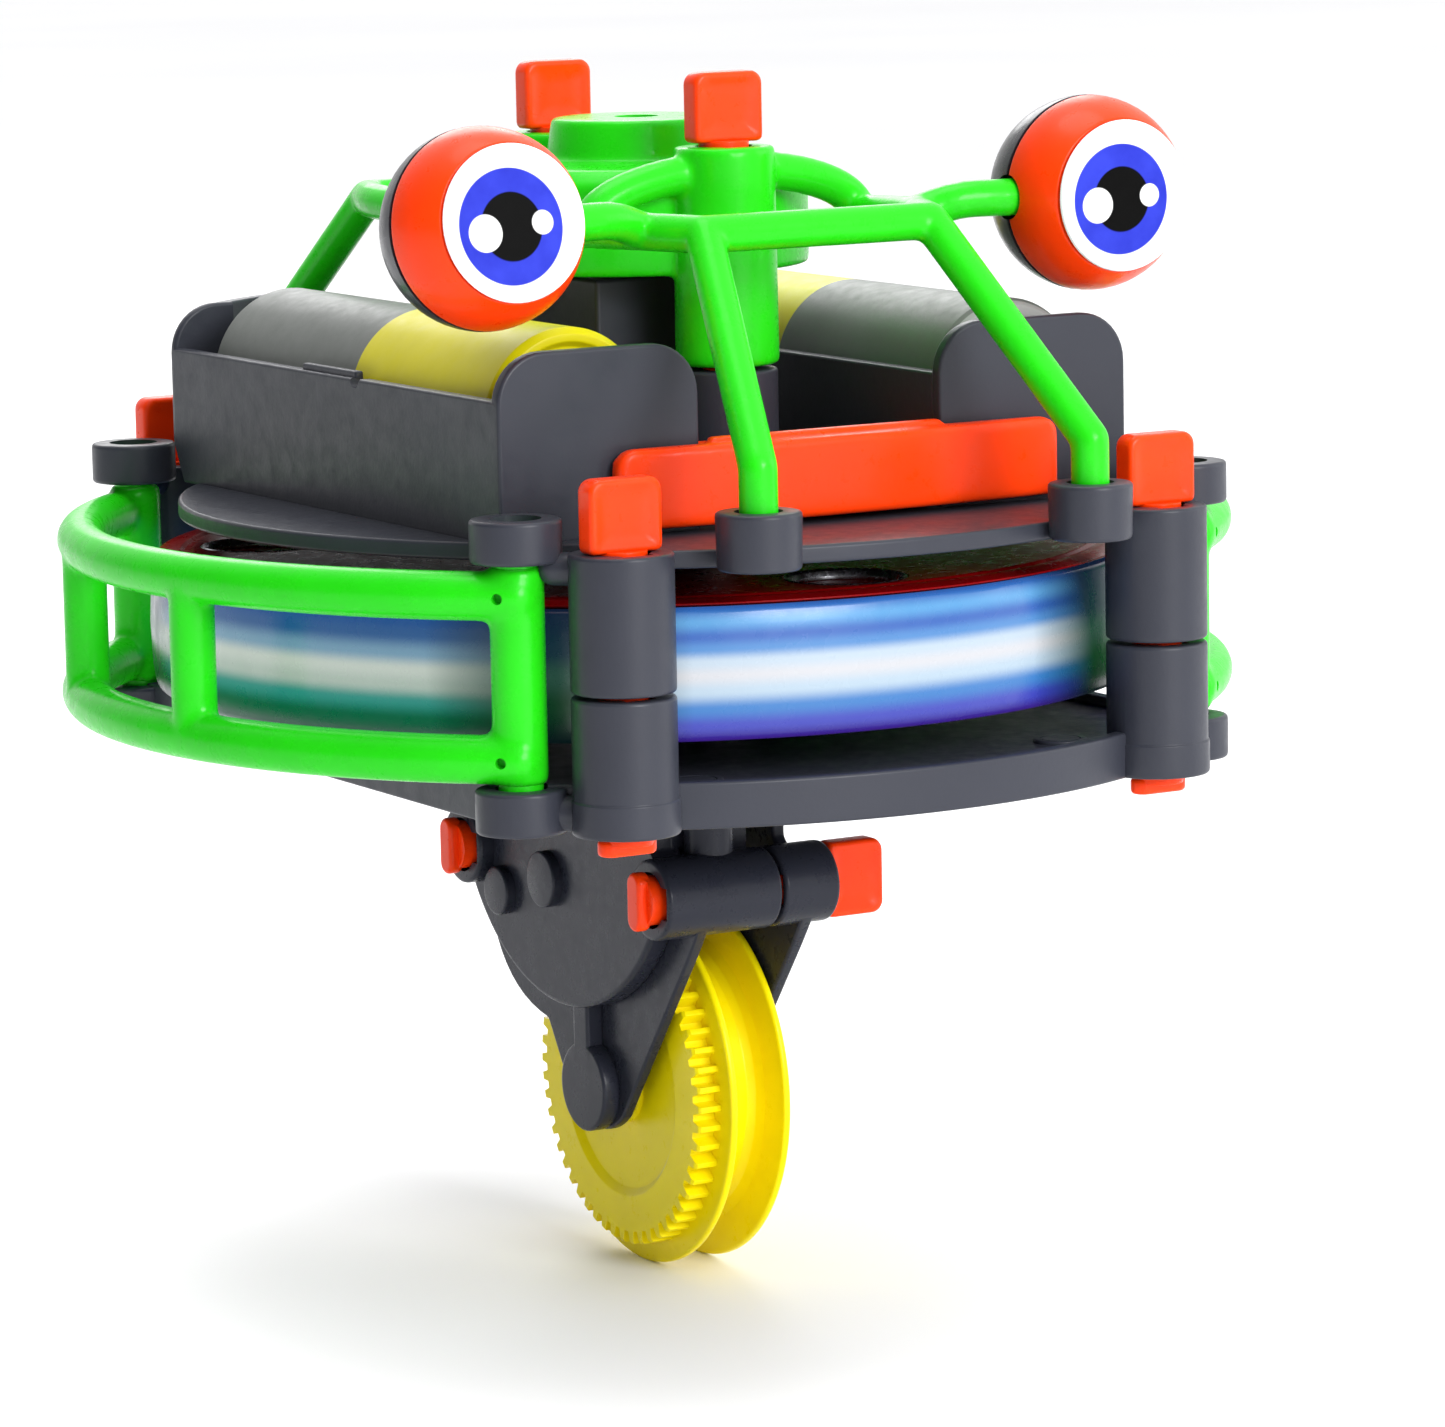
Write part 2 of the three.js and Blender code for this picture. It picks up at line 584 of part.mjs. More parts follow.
function sliderOutline() {
  // the bowed bar in front of the trays
  const { half, front, bow, back, corner } = SLIDER;
  const bend = front + bow - corner * 0.6;
  const shape = new THREE.Shape();
  shape.moveTo(-half, back);
  shape.lineTo(-half, front + bow);
  shape.quadraticCurveTo(-half, front + bow - corner * 0.5, -half + corner, bend);
  shape.quadraticCurveTo(0, front - bow * 0.55, half - corner, bend);
  shape.quadraticCurveTo(half, front + bow - corner * 0.5, half, front + bow);
  shape.lineTo(half, back);
  return shape;
}

function switchSlider() {
  const { half, front, back, endR, tongue, strip } = SLIDER;
  const [bottom, top] = SLIDER_Z;
  const ends = frontPlate(roundedPanel(half, top - bottom, endR), [front - 1, back + 1])
    .translate([0, 0, bottom]);
  const bar = plate(sliderOutline(), [bottom, top + 1], 8).intersect(ends);
  const tail = block([-tongue.half, tongue.half], [back - 0.4, tongue.back], [bottom, tongue.top]);
  const ledge = block(strip.x, [back - strip.deep, back], [top - 1, strip.top]);
  const { x, y } = SWITCH_POCKET;
  const pocket = block([-x - 2.3, x + 2.3], y, [bottom - 1, 64.9]);
  return cut(join(bar, tail, ledge), pocket).translate([SLIDER.x, 0, 0]);
}

// ---- flywheel -------------------------------------------------------------------------------

const CELL_POCKETS = [90, 270];
const LED_ANGLES = [7, 127, 247];
const SCREW_ANGLES = [0, 120, 240];

function flywheelBase() {
  const z = FLYWHEEL_Z[0];
  const tray = turned([
    [0, z - 1.6], [3.8, z - 1.6], [4.2, z], [WHEEL_R - 2.6, z], [WHEEL_R - 2.2, z + 0.4],
    [WHEEL_R - 2.2, z + 1.4], [0, z + 1.4]], 36);
  const hub = rod('z', 4.2, [z, z + 8.9], [0, 0]);
  const bosses = SCREW_ANGLES.map((a) => rod('z', 1.9, [z + 1, z + 8.9], aroundAxis(27, a), 10));
  const bores = SCREW_ANGLES.map((a) => rod('z', 1.0, [z + 3, z + 10], aroundAxis(27, a), 10));
  return cut(join(tray, hub, ...bosses), ...bores,
    rod('z', SHAFT_R + GAP, [z - 3, z + 10], [0, 0], 16));
}

function flywheelBand() {
  const [low, high] = [FLYWHEEL_Z[0] - 0.2, FLYWHEEL_Z[1] - 0.6];
  const middle = (low + high) / 2;
  return turned([
    [WHEEL_R - 1.9, low], [WHEEL_R - 0.3, low], [WHEEL_R, low + 1.6], [WHEEL_R + 0.15, middle],
    [WHEEL_R, high - 1.6], [WHEEL_R - 0.3, high], [WHEEL_R - 1.9, high]], 36);
}

function flywheelCap() {
  const z = FLYWHEEL_Z[1];
  const lid = turned([
    [4.0, z - 1.7], [WHEEL_R - 2.2, z - 1.7], [WHEEL_R - 2.2, z - 0.35], [WHEEL_R - 0.5, z - 0.35],
    [WHEEL_R - 0.5, z - 0.2], [WHEEL_R - 1.6, z], [4.0, z]], 36);
  const recesses = [30, 90, 150, 210, 270, 330]
    .map((a) => rod('z', 5.2, [z - 0.8, z + 1], aroundAxis(31.5, a), 12));
  const screwSeats = SCREW_ANGLES.map((a) => join(
    rod('z', 2.2, [z - 0.9, z + 1], aroundAxis(27, a), 10),
    rod('z', 1.2, [z - 3, z + 1], aroundAxis(27, a), 8)));
  return cut(lid, ...recesses, ...screwSeats);
}

function flywheelScrew(angle) {
  const z = FLYWHEEL_Z[1];
  const at = aroundAxis(27, angle);
  const driver = join(
    block([-1.3, 1.3], [-0.25, 0.25], [z - 0.1, z + 1]),
    block([-0.25, 0.25], [-1.3, 1.3], [z - 0.1, z + 1])).translate([at[0], at[1], 0]);
  const head = rod('z', 1.8, [z - 0.6, z + 0.3], at, 12);
  return cut(head.add(rod('z', 0.7, [z - 6, z - 0.5], at, 8)), driver);
}

function lightBoard() {
  const z = FLYWHEEL_Z[0] + 5.9;
  const holes = CELL_POCKETS.map((a) => rod('z', 6.2, [z - 1, z + 3], aroundAxis(16, a), 16));
  const screwClear = SCREW_ANGLES.map((a) => rod('z', 2.3, [z - 1, z + 3], aroundAxis(27, a), 8));
  return cut(ring(7, 30, [z, z + 1], 24), ...holes, ...screwClear);
}

function led(angle) {
  const z = FLYWHEEL_Z[0] + 6.1;
  const bulb = join(
    rod('x', 1.5, [30.6, 35.6], [0, z], 10),
    ball(1.4, [35.6, 0, z]),
    rod('x', 1.8, [30.6, 31.4], [0, z], 10));
  return bulb.rotate([0, 0, angle]);
}

const DRIVE_PINION_Z = [37.9, 39.3];
const DRIVE_PINION_TURN = 0.5;     // in teeth: a gap faces the crown gear

function drivePinion() {
  const geometry = new THREE.ExtrudeGeometry(gearShape(DRIVE_TEETH),
    { depth: DRIVE_PINION_Z[1] - DRIVE_PINION_Z[0], bevelEnabled: false });
  geometry.rotateZ(Math.PI + DRIVE_PINION_TURN * 2 * Math.PI / DRIVE_TEETH);
  const collar = rod('z', 1.4, [DRIVE_PINION_Z[0] - 0.8, DRIVE_PINION_Z[0] + 0.1], [0, 0], 16);
  return cut(solid(geometry.translate(0, 0, DRIVE_PINION_Z[0])).add(collar),
    rod('z', 0.9, [30, 45], [0, 0], 12));
}

// ---- drive wheel and gears ------------------------------------------------------------------

const GEAR_RING_X = [-3.6, -1.6];
const GEAR_DISH = { r: 9.4, deep: 0.5 };
const SPUR_X = [-6.2, -4.9];
const CROWN_DISC_X = [-4.3, -2.75];
const CROWN_TOOTH = { from: 4.5, to: 5.6, tip: -1.65, thick: 0.42 };

// Direction of each meshing partner, in degrees in the Y-Z plane.
const WHEEL_TO_REDUCTION = degreesTo({ y: 0, z: AXLE_Z }, REDUCTION_C);
const REDUCTION_TO_CROWN = degreesTo(REDUCTION_C, CROWN_C);

function degreesTo(from, to) {
  return THREE.MathUtils.radToDeg(Math.atan2(to.z - from.z, to.y - from.y));
}

function phase(teeth, degrees, tooth) {
  // turns a gear so that a tooth, or else a gap, points in a direction
  return degrees / (360 / teeth) + (tooth ? 0 : 0.5);
}

function driveWheel() {
  // rim with a cord groove, on its left side a gear with a shallow dish in its face, and a hub
  const left = GROOVE_X - 2.8;
  const right = GROOVE_X + 2.8;
  const rim = turned([
    [3.2, left], [FLANGE_R, left], [FLANGE_R, left + 0.65],
    [GROOVE_R + 1.2, GROOVE_X - 2.08], [GROOVE_R, GROOVE_X - 1.2], [GROOVE_R, GROOVE_X + 1.2],
    [GROOVE_R + 1.2, GROOVE_X + 2.08], [FLANGE_R, right - 0.65], [FLANGE_R, right],
    [10.2, right], [9.6, right - 1.6], [3.2, right - 1.6]], 32, 'x');
  const hub = rod('x', 3.3, [GEAR_RING_X[0], right], [0, 0]);
  const face = GEAR_RING_X[0];
  const teeth = cut(
    gear(WHEEL_TEETH, [face, left + 0.1], { y: 0, z: 0 },
      phase(WHEEL_TEETH, WHEEL_TO_REDUCTION, false)),
    rod('x', GEAR_DISH.r, [face - 1, face + GEAR_DISH.deep], [0, 0], 32));
  const bore = rod('x', SHAFT_R + 0.25, [-9, 9], [0, 0], 16);
  return cut(join(rim, hub, teeth), bore).translate([0, 0, AXLE_Z]);
}

function reductionGear() {
  const c = REDUCTION_C;
  const spur = gear(REDUCTION_TEETH, SPUR_X, c, phase(REDUCTION_TEETH, REDUCTION_TO_CROWN, false));
  const pinion = gear(REDUCTION_PINION_TEETH, [SPUR_X[1] - 0.1, -1.95], c,
    phase(REDUCTION_PINION_TEETH, WHEEL_TO_REDUCTION + 180, true));
  return cut(join(spur, pinion), rod('x', GEAR_PIN_R + 0.2, [-9, 9], [c.y, c.z], 12));
}

function crownGear() {
  // a disc with teeth standing on its right-hand face, and a pinion behind it
  const c = CROWN_C;
  const disc = rod('x', CROWN_TOOTH.to, CROWN_DISC_X, [0, 0], 20);
  const { from, to, tip, thick } = CROWN_TOOTH;
  const tooth = block([CROWN_DISC_X[1] - 0.1, tip], [-thick / 2, thick / 2], [from, to]);
  const teeth = [];
  for (let i = 0; i < CROWN_TEETH; i++) teeth.push(tooth.rotate([i * 360 / CROWN_TEETH, 0, 0]));
  const pinion = gear(CROWN_PINION_TEETH, [SPUR_X[0] - 0.1, CROWN_DISC_X[0] + 0.1], { y: 0, z: 0 },
    phase(CROWN_PINION_TEETH, REDUCTION_TO_CROWN + 180, true));
  return cut(join(disc, ...teeth, pinion), rod('x', GEAR_PIN_R + 0.2, [-9, 9], [0, 0], 12))
    .translate([0, c.y, c.z]);
}

// ---- gearbox --------------------------------------------------------------------------------

function gearboxOutline() {
  const shape = new THREE.Shape();
  shape.moveTo(-12.4, 39.2);
  shape.lineTo(-12.4, 32.6);
  shape.lineTo(-17.6, 27.6);
  shape.lineTo(-15.2, 24.2);
  shape.lineTo(-3.6, 8.9);
  shape.quadraticCurveTo(-0.6, 6.3, 3.0, 8.0);
  shape.quadraticCurveTo(5.6, 8.9, 6.6, 11.6);
  shape.lineTo(8.9, 15.2);
  shape.quadraticCurveTo(18.2, 16.6, 19.4, 26.2);
  shape.lineTo(19.4, 39.2);
  return shape;
}

function tubeSide(x) {
  return join(
    rod('x', TUBE_R, x, [FRONT_TUBE_Y, TUBE_Z]),
    rod('x', TUBE_R, x, [BACK_TUBE_Y, TUBE_Z]));
}

function gearboxKeyways() {
  // the two pin bores; each has a slot for the pin's cross bar, upright when it is unlocked
  const span = [TUBE_X[0] - 1, TUBE_X[1] + 1];
  return [FRONT_TUBE_Y, BACK_TUBE_Y].map((y) => join(
    rod('x', PIN_BORE_R, span, [y, TUBE_Z], 10),
    block(span, [y - KEY_SLOT.half, y + KEY_SLOT.half],
      [TUBE_Z - KEY_SLOT.depth, TUBE_Z + KEY_SLOT.depth])));
}

const COVER_X = -5.3;
const BULGE_X = -7.2;               // outer face of the belly that covers the gears
const BELLY = { y: 2.8, z: 35.9, r: 18.4 };
const PIN_SOCKET_X = BULGE_X + 0.35;

function gearboxCover() {
  // the left shell: it carries the tubes and hides the gears
  const outline = gearboxOutline();
  const { y, z } = REDUCTION_C;
  const inner = COVER_X + 1.0;
  const raised = join(
    rod('x', BELLY.r, [BULGE_X, COVER_X + 0.1], [BELLY.y, BELLY.z], 40),
    rod('x', 2.35, [BULGE_X - 0.9, COVER_X + 0.1], [4.6, 27.9], 16),
    rod('x', 2.05, [BULGE_X - 0.9, COVER_X + 0.1], [12.5, 25.8], 14),
    block([COVER_X - 1.5, COVER_X + 0.1], [-0.6, 1.8], [AXLE_Z, 19]))
    .intersect(sidePlate(outline, [COVER_X - 4, 0]));
  const axleBoss = join(
    rod('x', 3.7, [COVER_X - 1.5, COVER_X + 0.1], [0.4, AXLE_Z]),
    rod('x', 2.6, [inner - 0.1, GEAR_RING_X[0] - GAP], [0, AXLE_Z]));
  const roof = block([COVER_X, GEARBOX_SEAM_X], [-12.4, 19.4], [37.9, 39.2]);
  const backWall = block([COVER_X, GEARBOX_SEAM_X], [18.1, 19.4], [TUBE_Z, 39.2]);
  const frontWall = block([COVER_X, GEARBOX_SEAM_X], [-12.4, -11.2], [TUBE_Z + 1.4, 39.2]);
  const screwPosts = GEARBOX_SCREWS.map((at) => rod('z', 2.0, [31.6, 39.2], at, 12));
  const body = join(sidePlate(outline, [COVER_X, inner]), raised, axleBoss, roof, backWall,
    frontWall, tubeSide([TUBE_X[0], GEARBOX_SEAM_X]), ...screwPosts);
  return cut(body, ...gearboxKeyways(),
    ...GEARBOX_SCREWS.map((at) => rod('z', 1.15, [32.4, 41], at, 12)),
    rod('x', 7.7, [SPUR_X[0] - GAP, inner + 0.1], [y, z], 24),
    rod('x', 2.85, [SPUR_X[0] - GAP - 0.1, inner + 0.1], [CROWN_C.y, CROWN_C.z], 20),
    rod('x', CROWN_TOOTH.to + 0.4, [CROWN_DISC_X[0] - GAP, 0], [CROWN_C.y, CROWN_C.z], 24),
    rod('z', 2.9, [36, 41], [0, 0], 16),
    rod('x', SHAFT_R + GAP, [COVER_X - 1.0, 9], [0, AXLE_Z], 16),
    rod('x', GEAR_PIN_R + GAP, [PIN_SOCKET_X, 0], [y, z], 12),
    rod('x', GEAR_PIN_R + GAP, [PIN_SOCKET_X, 0], [CROWN_C.y, CROWN_C.z], 12));
}

function gearboxPlate() {
  // the right shell, a tapered arm that holds the other end of the axle
  const x = [4.35, 5.5];
  const seam = GEARBOX_SEAM_X + GAP;
  const arm = sidePlate(gearboxOutline(), x);
  const spacer = block([seam, x[0] + 0.1], [-12.4, 19.4], [37.9, 39.2]);
  const axleBoss = rod('x', 3.4, [x[1] - 0.1, x[1] + 0.9], [0.4, AXLE_Z]);
  return cut(join(arm, spacer, axleBoss, tubeSide([seam, TUBE_X[1]])), ...gearboxKeyways(),
    rod('z', 2.9, [36, 41], [0, 0], 16),
    rod('x', SHAFT_R + GAP, [0, x[1] + 0.4], [0, AXLE_Z], 16));
}

// ---- motor ----------------------------------------------------------------------------------

function motorOutline(inset = 0) {
  // a round can with two flats
  const r = MOTOR_R - inset;
  const flat = MOTOR_FLAT - inset;
  const corner = Math.asin(flat / r);
  const shape = new THREE.Shape();
  shape.absarc(0, 0, r, -corner, corner, false);
  shape.absarc(0, 0, r, Math.PI - corner, Math.PI + corner, false);
  return shape;
}

function motorCan() {
  const [bottom, top] = MOTOR_Z;
  const body = plate(motorOutline(), [bottom, top])
    .add(rod('z', 2.6, [bottom - 1.2, bottom + 1], [0, 0]));
  return cut(body, plate(motorOutline(0.6), [bottom + 0.8, top + 1]),
    rod('z', SHAFT_R + 0.2, [bottom - 3, bottom + 2], [0, 0], 16));
}

function motorEndCap() {
  const top = MOTOR_Z[1];
  const lid = plate(motorOutline(), [top + GAP, top + 1.6])
    .add(rod('z', 2.2, [top + 1, top + 4.2], [0, 0]));
  const terminals = bothSides(block([4.2, 4.6], [-1, 1], [top + 1.5, top + 2.1]), 'x');
  return cut(lid.add(terminals), rod('z', SHAFT_R + 0.3, [top - 1, top + 3.4], [0, 0], 16));
}

function motorRotor() {
  // three-pole armature
  const z = [MOTOR_Z[0] + 3, MOTOR_Z[1] - 4];
  const poles = [0, 120, 240].map((a) => rod('z', 2.1, z, aroundAxis(2.1, a), 14));
  return cut(join(rod('z', 2, z, [0, 0], 16), ...poles),
    rod('z', SHAFT_R + 0.25, [z[0] - 1, z[1] + 1], [0, 0], 16));
}

function magnet() {
  const z = [MOTOR_Z[0] + 2.5, MOTOR_Z[1] - 3.5];
  return ring(4.7, 5.9, z, 28).intersect(block([1.6, 8], [-4.6, 4.6], [0, 100]));
}

// ---- assembly -------------------------------------------------------------------------------

const toy = new THREE.Group();
toy.position.set(-GROOVE_X, 0, 0);

function add(name, body, material) {
  const mesh = body.getMesh();
  const geometry = new THREE.BufferGeometry();
  const points = Float32Array.from(mesh.vertProperties);
  geometry.setAttribute('position', new THREE.BufferAttribute(points, 3));
  geometry.setIndex(new THREE.BufferAttribute(Uint32Array.from(mesh.triVerts), 1));
  const part = new THREE.Mesh(geometry, material);
  part.name = name;
  toy.add(part);
}

add('lower_deck', lowerDeck(), slate);
add('upper_deck', upperDeck(), slate);
add('right_guard', rightGuard(), green);
add('left_guard', mirrored(rightGuard(), 'x'), green);
add('head_frame', headFrame(), green);

for (const [side, word] of [[-1, 'left'], [1, 'right']]) {
  const eye = eyeParts(side);
  add(`${word}_eye_front`, eye.front, orange);
  add(`${word}_eye_back`, eye.back, slate);
  add(`${word}_eye_face`, eye.face, eyeWhite);
}

const deckPin = quarterTurnPin(UPPER_DECK_Z[1] - LOWER_DECK_Z[0]);
for (const [sy, end] of [[-1, 'front'], [1, 'back']]) {
  for (const [sx, word] of [[-1, 'left'], [1, 'right']]) {
    add(`deck_pin_${end}_${word}`, deckPin.translate([sx * POST_X, sy * POST_Y, UPPER_DECK_Z[1]]),
      orange);
  }
}
const hubPin = quarterTurnPin(HUB_TUBE_TOP - UPPER_DECK_Z[0]);
add('hub_pin_front', hubPin.translate([0, -HUB_POST_Y, HUB_TUBE_TOP]), orange);
add('hub_pin_back', hubPin.translate([0, HUB_POST_Y, HUB_TUBE_TOP]), orange);
const gearboxPin = quarterTurnPin(TUBE_X[1] - TUBE_X[0], 5.1).rotate([0, 90, 0]);
add('gearbox_pin_front', gearboxPin.translate([TUBE_X[1], FRONT_TUBE_Y, TUBE_Z]), orange);
add('gearbox_pin_back', gearboxPin.translate([TUBE_X[1], BACK_TUBE_Y, TUBE_Z]), orange);

add('left_battery', batteryCell(-1, -1), cellSleeve);
add('right_battery', batteryCell(1, 1), cellSleeve);
add('left_contact_spring', contactSpring(-1, CELL.back + 2.3, CELL.back + 0.6), steel);
add('right_contact_spring', contactSpring(1, CELL.front - 1.7, CELL.front - 0.6), steel);
add('left_contact_plate', contactPlate(-1, TRAY.front + TRAY.wall + 0.6, -1), brass);
add('right_contact_plate', contactPlate(1, CELL.back + 2.0, 1), brass);

add('switch_slider', switchSlider(), orange);
const { x: switchHalf, y: switchY } = SWITCH_POCKET;
add('slide_switch', cut(
  block([-switchHalf + 0.3, switchHalf - 0.3], [switchY[0] + 0.4, switchY[1] - 0.4], [60.85, 63.6]),
  block([-2.3, 2.3], [-23.4, -21.6], [62.2, 65])), steel);
add('switch_knob', block([0, 1.6], [-23.1, -21.9], [62.5, 64.6]), blackPlastic);

add('flywheel_base', flywheelBase(), blackPlastic);
add('flywheel_band', flywheelBand(), bandWhite);
add('flywheel_cap', flywheelCap(), darkRed);
add('weight_ring', ring(30.6, 37.4, [FLYWHEEL_Z[0] + 1.7, FLYWHEEL_Z[0] + 4.3], 36), steel);
SCREW_ANGLES.forEach((angle, i) => add(`flywheel_screw_${i + 1}`, flywheelScrew(angle), steel));
add('light_board', lightBoard(), boardGreen);
LED_ANGLES.forEach((angle, i) => add(`led_${i + 1}`, led(angle), ledClear));
CELL_POCKETS.forEach((angle, i) => add(`button_cell_${i + 1}`,
  rod('z', 5.8, [FLYWHEEL_Z[0] + 1.7, FLYWHEEL_Z[0] + 7.1], aroundAxis(16, angle), 20), steel));
add('flywheel_shaft', rod('z', 0.8, [36.4, 85.6], [0, 0], 12), steel);
add('drive_pinion', drivePinion(), brass);
add('shaft_bearing', turned([[SHAFT_R + 0.25, BEARING.z[0]], [BEARING.r - 0.25, BEARING.z[0]],
  [BEARING.r - 0.25, BEARING.z[1]], [SHAFT_R + 0.25, BEARING.z[1]]], 24), brass);

add('crown_gear', crownGear(), whiteGear);
add('crown_gear_pin', rod('x', GEAR_PIN_R, [PIN_SOCKET_X + GAP, -1.9], [CROWN_C.y, CROWN_C.z], 10),
  steel);
add('reduction_gear', reductionGear(), whiteGear);
add('reduction_gear_pin', rod('x', GEAR_PIN_R, [PIN_SOCKET_X + GAP, -1.9],
  [REDUCTION_C.y, REDUCTION_C.z], 10), steel);
add('drive_wheel', driveWheel(), yellow);
add('wheel_axle', rod('x', SHAFT_R, [COVER_X - 0.7, 5.7], [0, AXLE_Z], 14), steel);
add('gearbox_cover', gearboxCover(), slate);
add('gearbox_plate', gearboxPlate(), slate);
GEARBOX_SCREWS.forEach((at, i) => add(`gearbox_screw_${i + 1}`, join(
  rod('z', 1.9, [42.6, 43.8], at, 14), rod('z', 0.85, [33.4, 42.7], at, 10)), steel));

add('hub_screw', join(
  rod('z', HUB_SCREW.seatR - 0.15, [CROWN_Z - HUB_SCREW.sunk, CROWN_Z - 0.2], [0, 0], 14),
  rod('z', HUB_SCREW.holeR - 0.1, [CROWN_Z - 1.8, CROWN_Z - 0.5], [0, 0], 10)), steel);

add('motor_can', motorCan(), steel);
add('motor_end_cap', motorEndCap(), blackPlastic);
add('motor_rotor', motorRotor(), brass);
add('motor_magnet_left', mirrored(magnet(), 'x'), blackPlastic);
add('motor_magnet_right', magnet(), blackPlastic);

export default toy;
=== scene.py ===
"""Looks of the gyroscope toy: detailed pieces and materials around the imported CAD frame.

Pieces are drawn in millimetres about the flywheel's spin axis, with the same heights as the CAD
part, and brought into the CAD's frame (metres, origin at the bottom of the wheel groove) at the end.
"""
import json
import math

import bmesh
import bpy
import numpy as np
from mathutils import Matrix, Vector


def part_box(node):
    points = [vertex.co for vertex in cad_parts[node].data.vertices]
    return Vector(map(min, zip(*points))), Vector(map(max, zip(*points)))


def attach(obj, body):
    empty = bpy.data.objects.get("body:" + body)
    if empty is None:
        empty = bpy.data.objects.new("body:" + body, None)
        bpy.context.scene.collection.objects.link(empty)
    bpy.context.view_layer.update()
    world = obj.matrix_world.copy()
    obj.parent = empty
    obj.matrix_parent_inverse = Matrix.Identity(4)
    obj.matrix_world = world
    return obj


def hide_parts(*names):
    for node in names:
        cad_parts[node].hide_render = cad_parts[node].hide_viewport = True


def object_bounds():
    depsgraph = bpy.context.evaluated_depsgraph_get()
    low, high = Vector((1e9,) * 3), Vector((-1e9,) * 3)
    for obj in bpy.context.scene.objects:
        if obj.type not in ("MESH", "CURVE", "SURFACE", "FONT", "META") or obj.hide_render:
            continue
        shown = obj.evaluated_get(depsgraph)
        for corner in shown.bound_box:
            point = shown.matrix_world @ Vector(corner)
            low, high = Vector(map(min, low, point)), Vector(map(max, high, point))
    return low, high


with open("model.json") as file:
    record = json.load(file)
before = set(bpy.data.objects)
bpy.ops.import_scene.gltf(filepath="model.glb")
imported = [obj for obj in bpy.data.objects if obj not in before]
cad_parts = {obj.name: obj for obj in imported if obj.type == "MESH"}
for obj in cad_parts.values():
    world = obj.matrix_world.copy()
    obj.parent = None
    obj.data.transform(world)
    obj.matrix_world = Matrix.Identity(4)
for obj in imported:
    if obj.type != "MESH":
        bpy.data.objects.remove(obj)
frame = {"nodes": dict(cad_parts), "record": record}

cad_low, cad_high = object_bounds()

MM = 0.001
STEPS = 64                                     # sides of a round piece
SOFT = 0.22                                    # rounding of an ordinary moulded edge


band_low, band_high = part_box("flywheel_band")
AXIS_X = (band_low.x + band_high.x) / 2        # the flywheel's spin axis


def box_mm(node):
    """[low, high] of a CAD node in millimetres about the spin axis, one pair for each of x, y, z."""
    low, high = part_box(node)
    return [((a - o) / MM, (b - o) / MM) for a, b, o in zip(low, high, (AXIS_X, 0, 0))]


def middle(span):
    return (span[0] + span[1]) / 2


# ---- outlines and profiles ------------------------------------------------------------------


def softened(points, radius=SOFT, closed=True, parts=3):
    """The points with each corner replaced by a short curve."""
    points = [np.array(p, float) for p in points]
    out = []
    last = len(points) - 1
    for i, p in enumerate(points):
        if not closed and i in (0, last):
            out.append(p)
            continue
        before, after = points[i - 1] - p, points[(i + 1) % len(points)] - p
        lb, la = np.linalg.norm(before), np.linalg.norm(after)
        cosine = float(np.dot(before, after) / (lb * la))
        if cosine < -0.97 or radius <= 0:
            out.append(p)
            continue
        half = math.acos(max(-1, min(1, cosine))) / 2
        reach = min(radius / math.tan(half), lb * 0.45, la * 0.45)
        a, b = p + before / lb * reach, p + after / la * reach
        for k in range(parts + 1):
            s = k / parts
            out.append((1 - s) ** 2 * a + 2 * s * (1 - s) * p + s * s * b)
    return out


def arc(r, start, end, count, centre=(0, 0)):
    """Points on a circle, angles in radians."""
    turns = [start + (end - start) * i / count for i in range(count + 1)]
    return [(centre[0] + r * math.cos(t), centre[1] + r * math.sin(t)) for t in turns]


def inset(outline, distance):
    """A counter-clockwise outline moved inwards."""
    p = np.array(outline, float)
    before, after = p - np.roll(p, 1, 0), np.roll(p, -1, 0) - p
    before /= np.linalg.norm(before, axis=1)[:, None]
    after /= np.linalg.norm(after, axis=1)[:, None]
    n1 = np.stack([before[:, 1], -before[:, 0]], 1)
    n2 = np.stack([after[:, 1], -after[:, 0]], 1)
    mitre = (n1 + n2) / (1 + (n1 * n2).sum(1))[:, None]
    return p - mitre * distance


def counter_clockwise(outline):
    p = np.array(outline, float)
    q = np.roll(p, -1, 0)
    area = (p[:, 0] * q[:, 1] - q[:, 0] * p[:, 1]).sum()
    return p if area > 0 else p[::-1]


def bezier(a, b, c, count=8):
    """Points of a quadratic curve after its start."""
    a, b, c = (np.array(p, float) for p in (a, b, c))
    return [tuple((1 - s) ** 2 * a + 2 * s * (1 - s) * b + s * s * c)
            for s in (k / count for k in range(1, count + 1))]


# ---- solids ---------------------------------------------------------------------------------


def spot(axis, u, v, h):
    return {"x": (h, u, v), "y": (u, h, v), "z": (u, v, h)}[axis]


def mesh_from(verts, faces):
    me = bpy.data.meshes.new("part")
    me.from_pydata([tuple(map(float, v)) for v in verts], [], faces)
    bm = bmesh.new()
    bm.from_mesh(me)
    bmesh.ops.remove_doubles(bm, verts=bm.verts, dist=1e-4)
    bmesh.ops.recalc_face_normals(bm, faces=bm.faces)
    bm.to_mesh(me)
    bm.free()
    return me


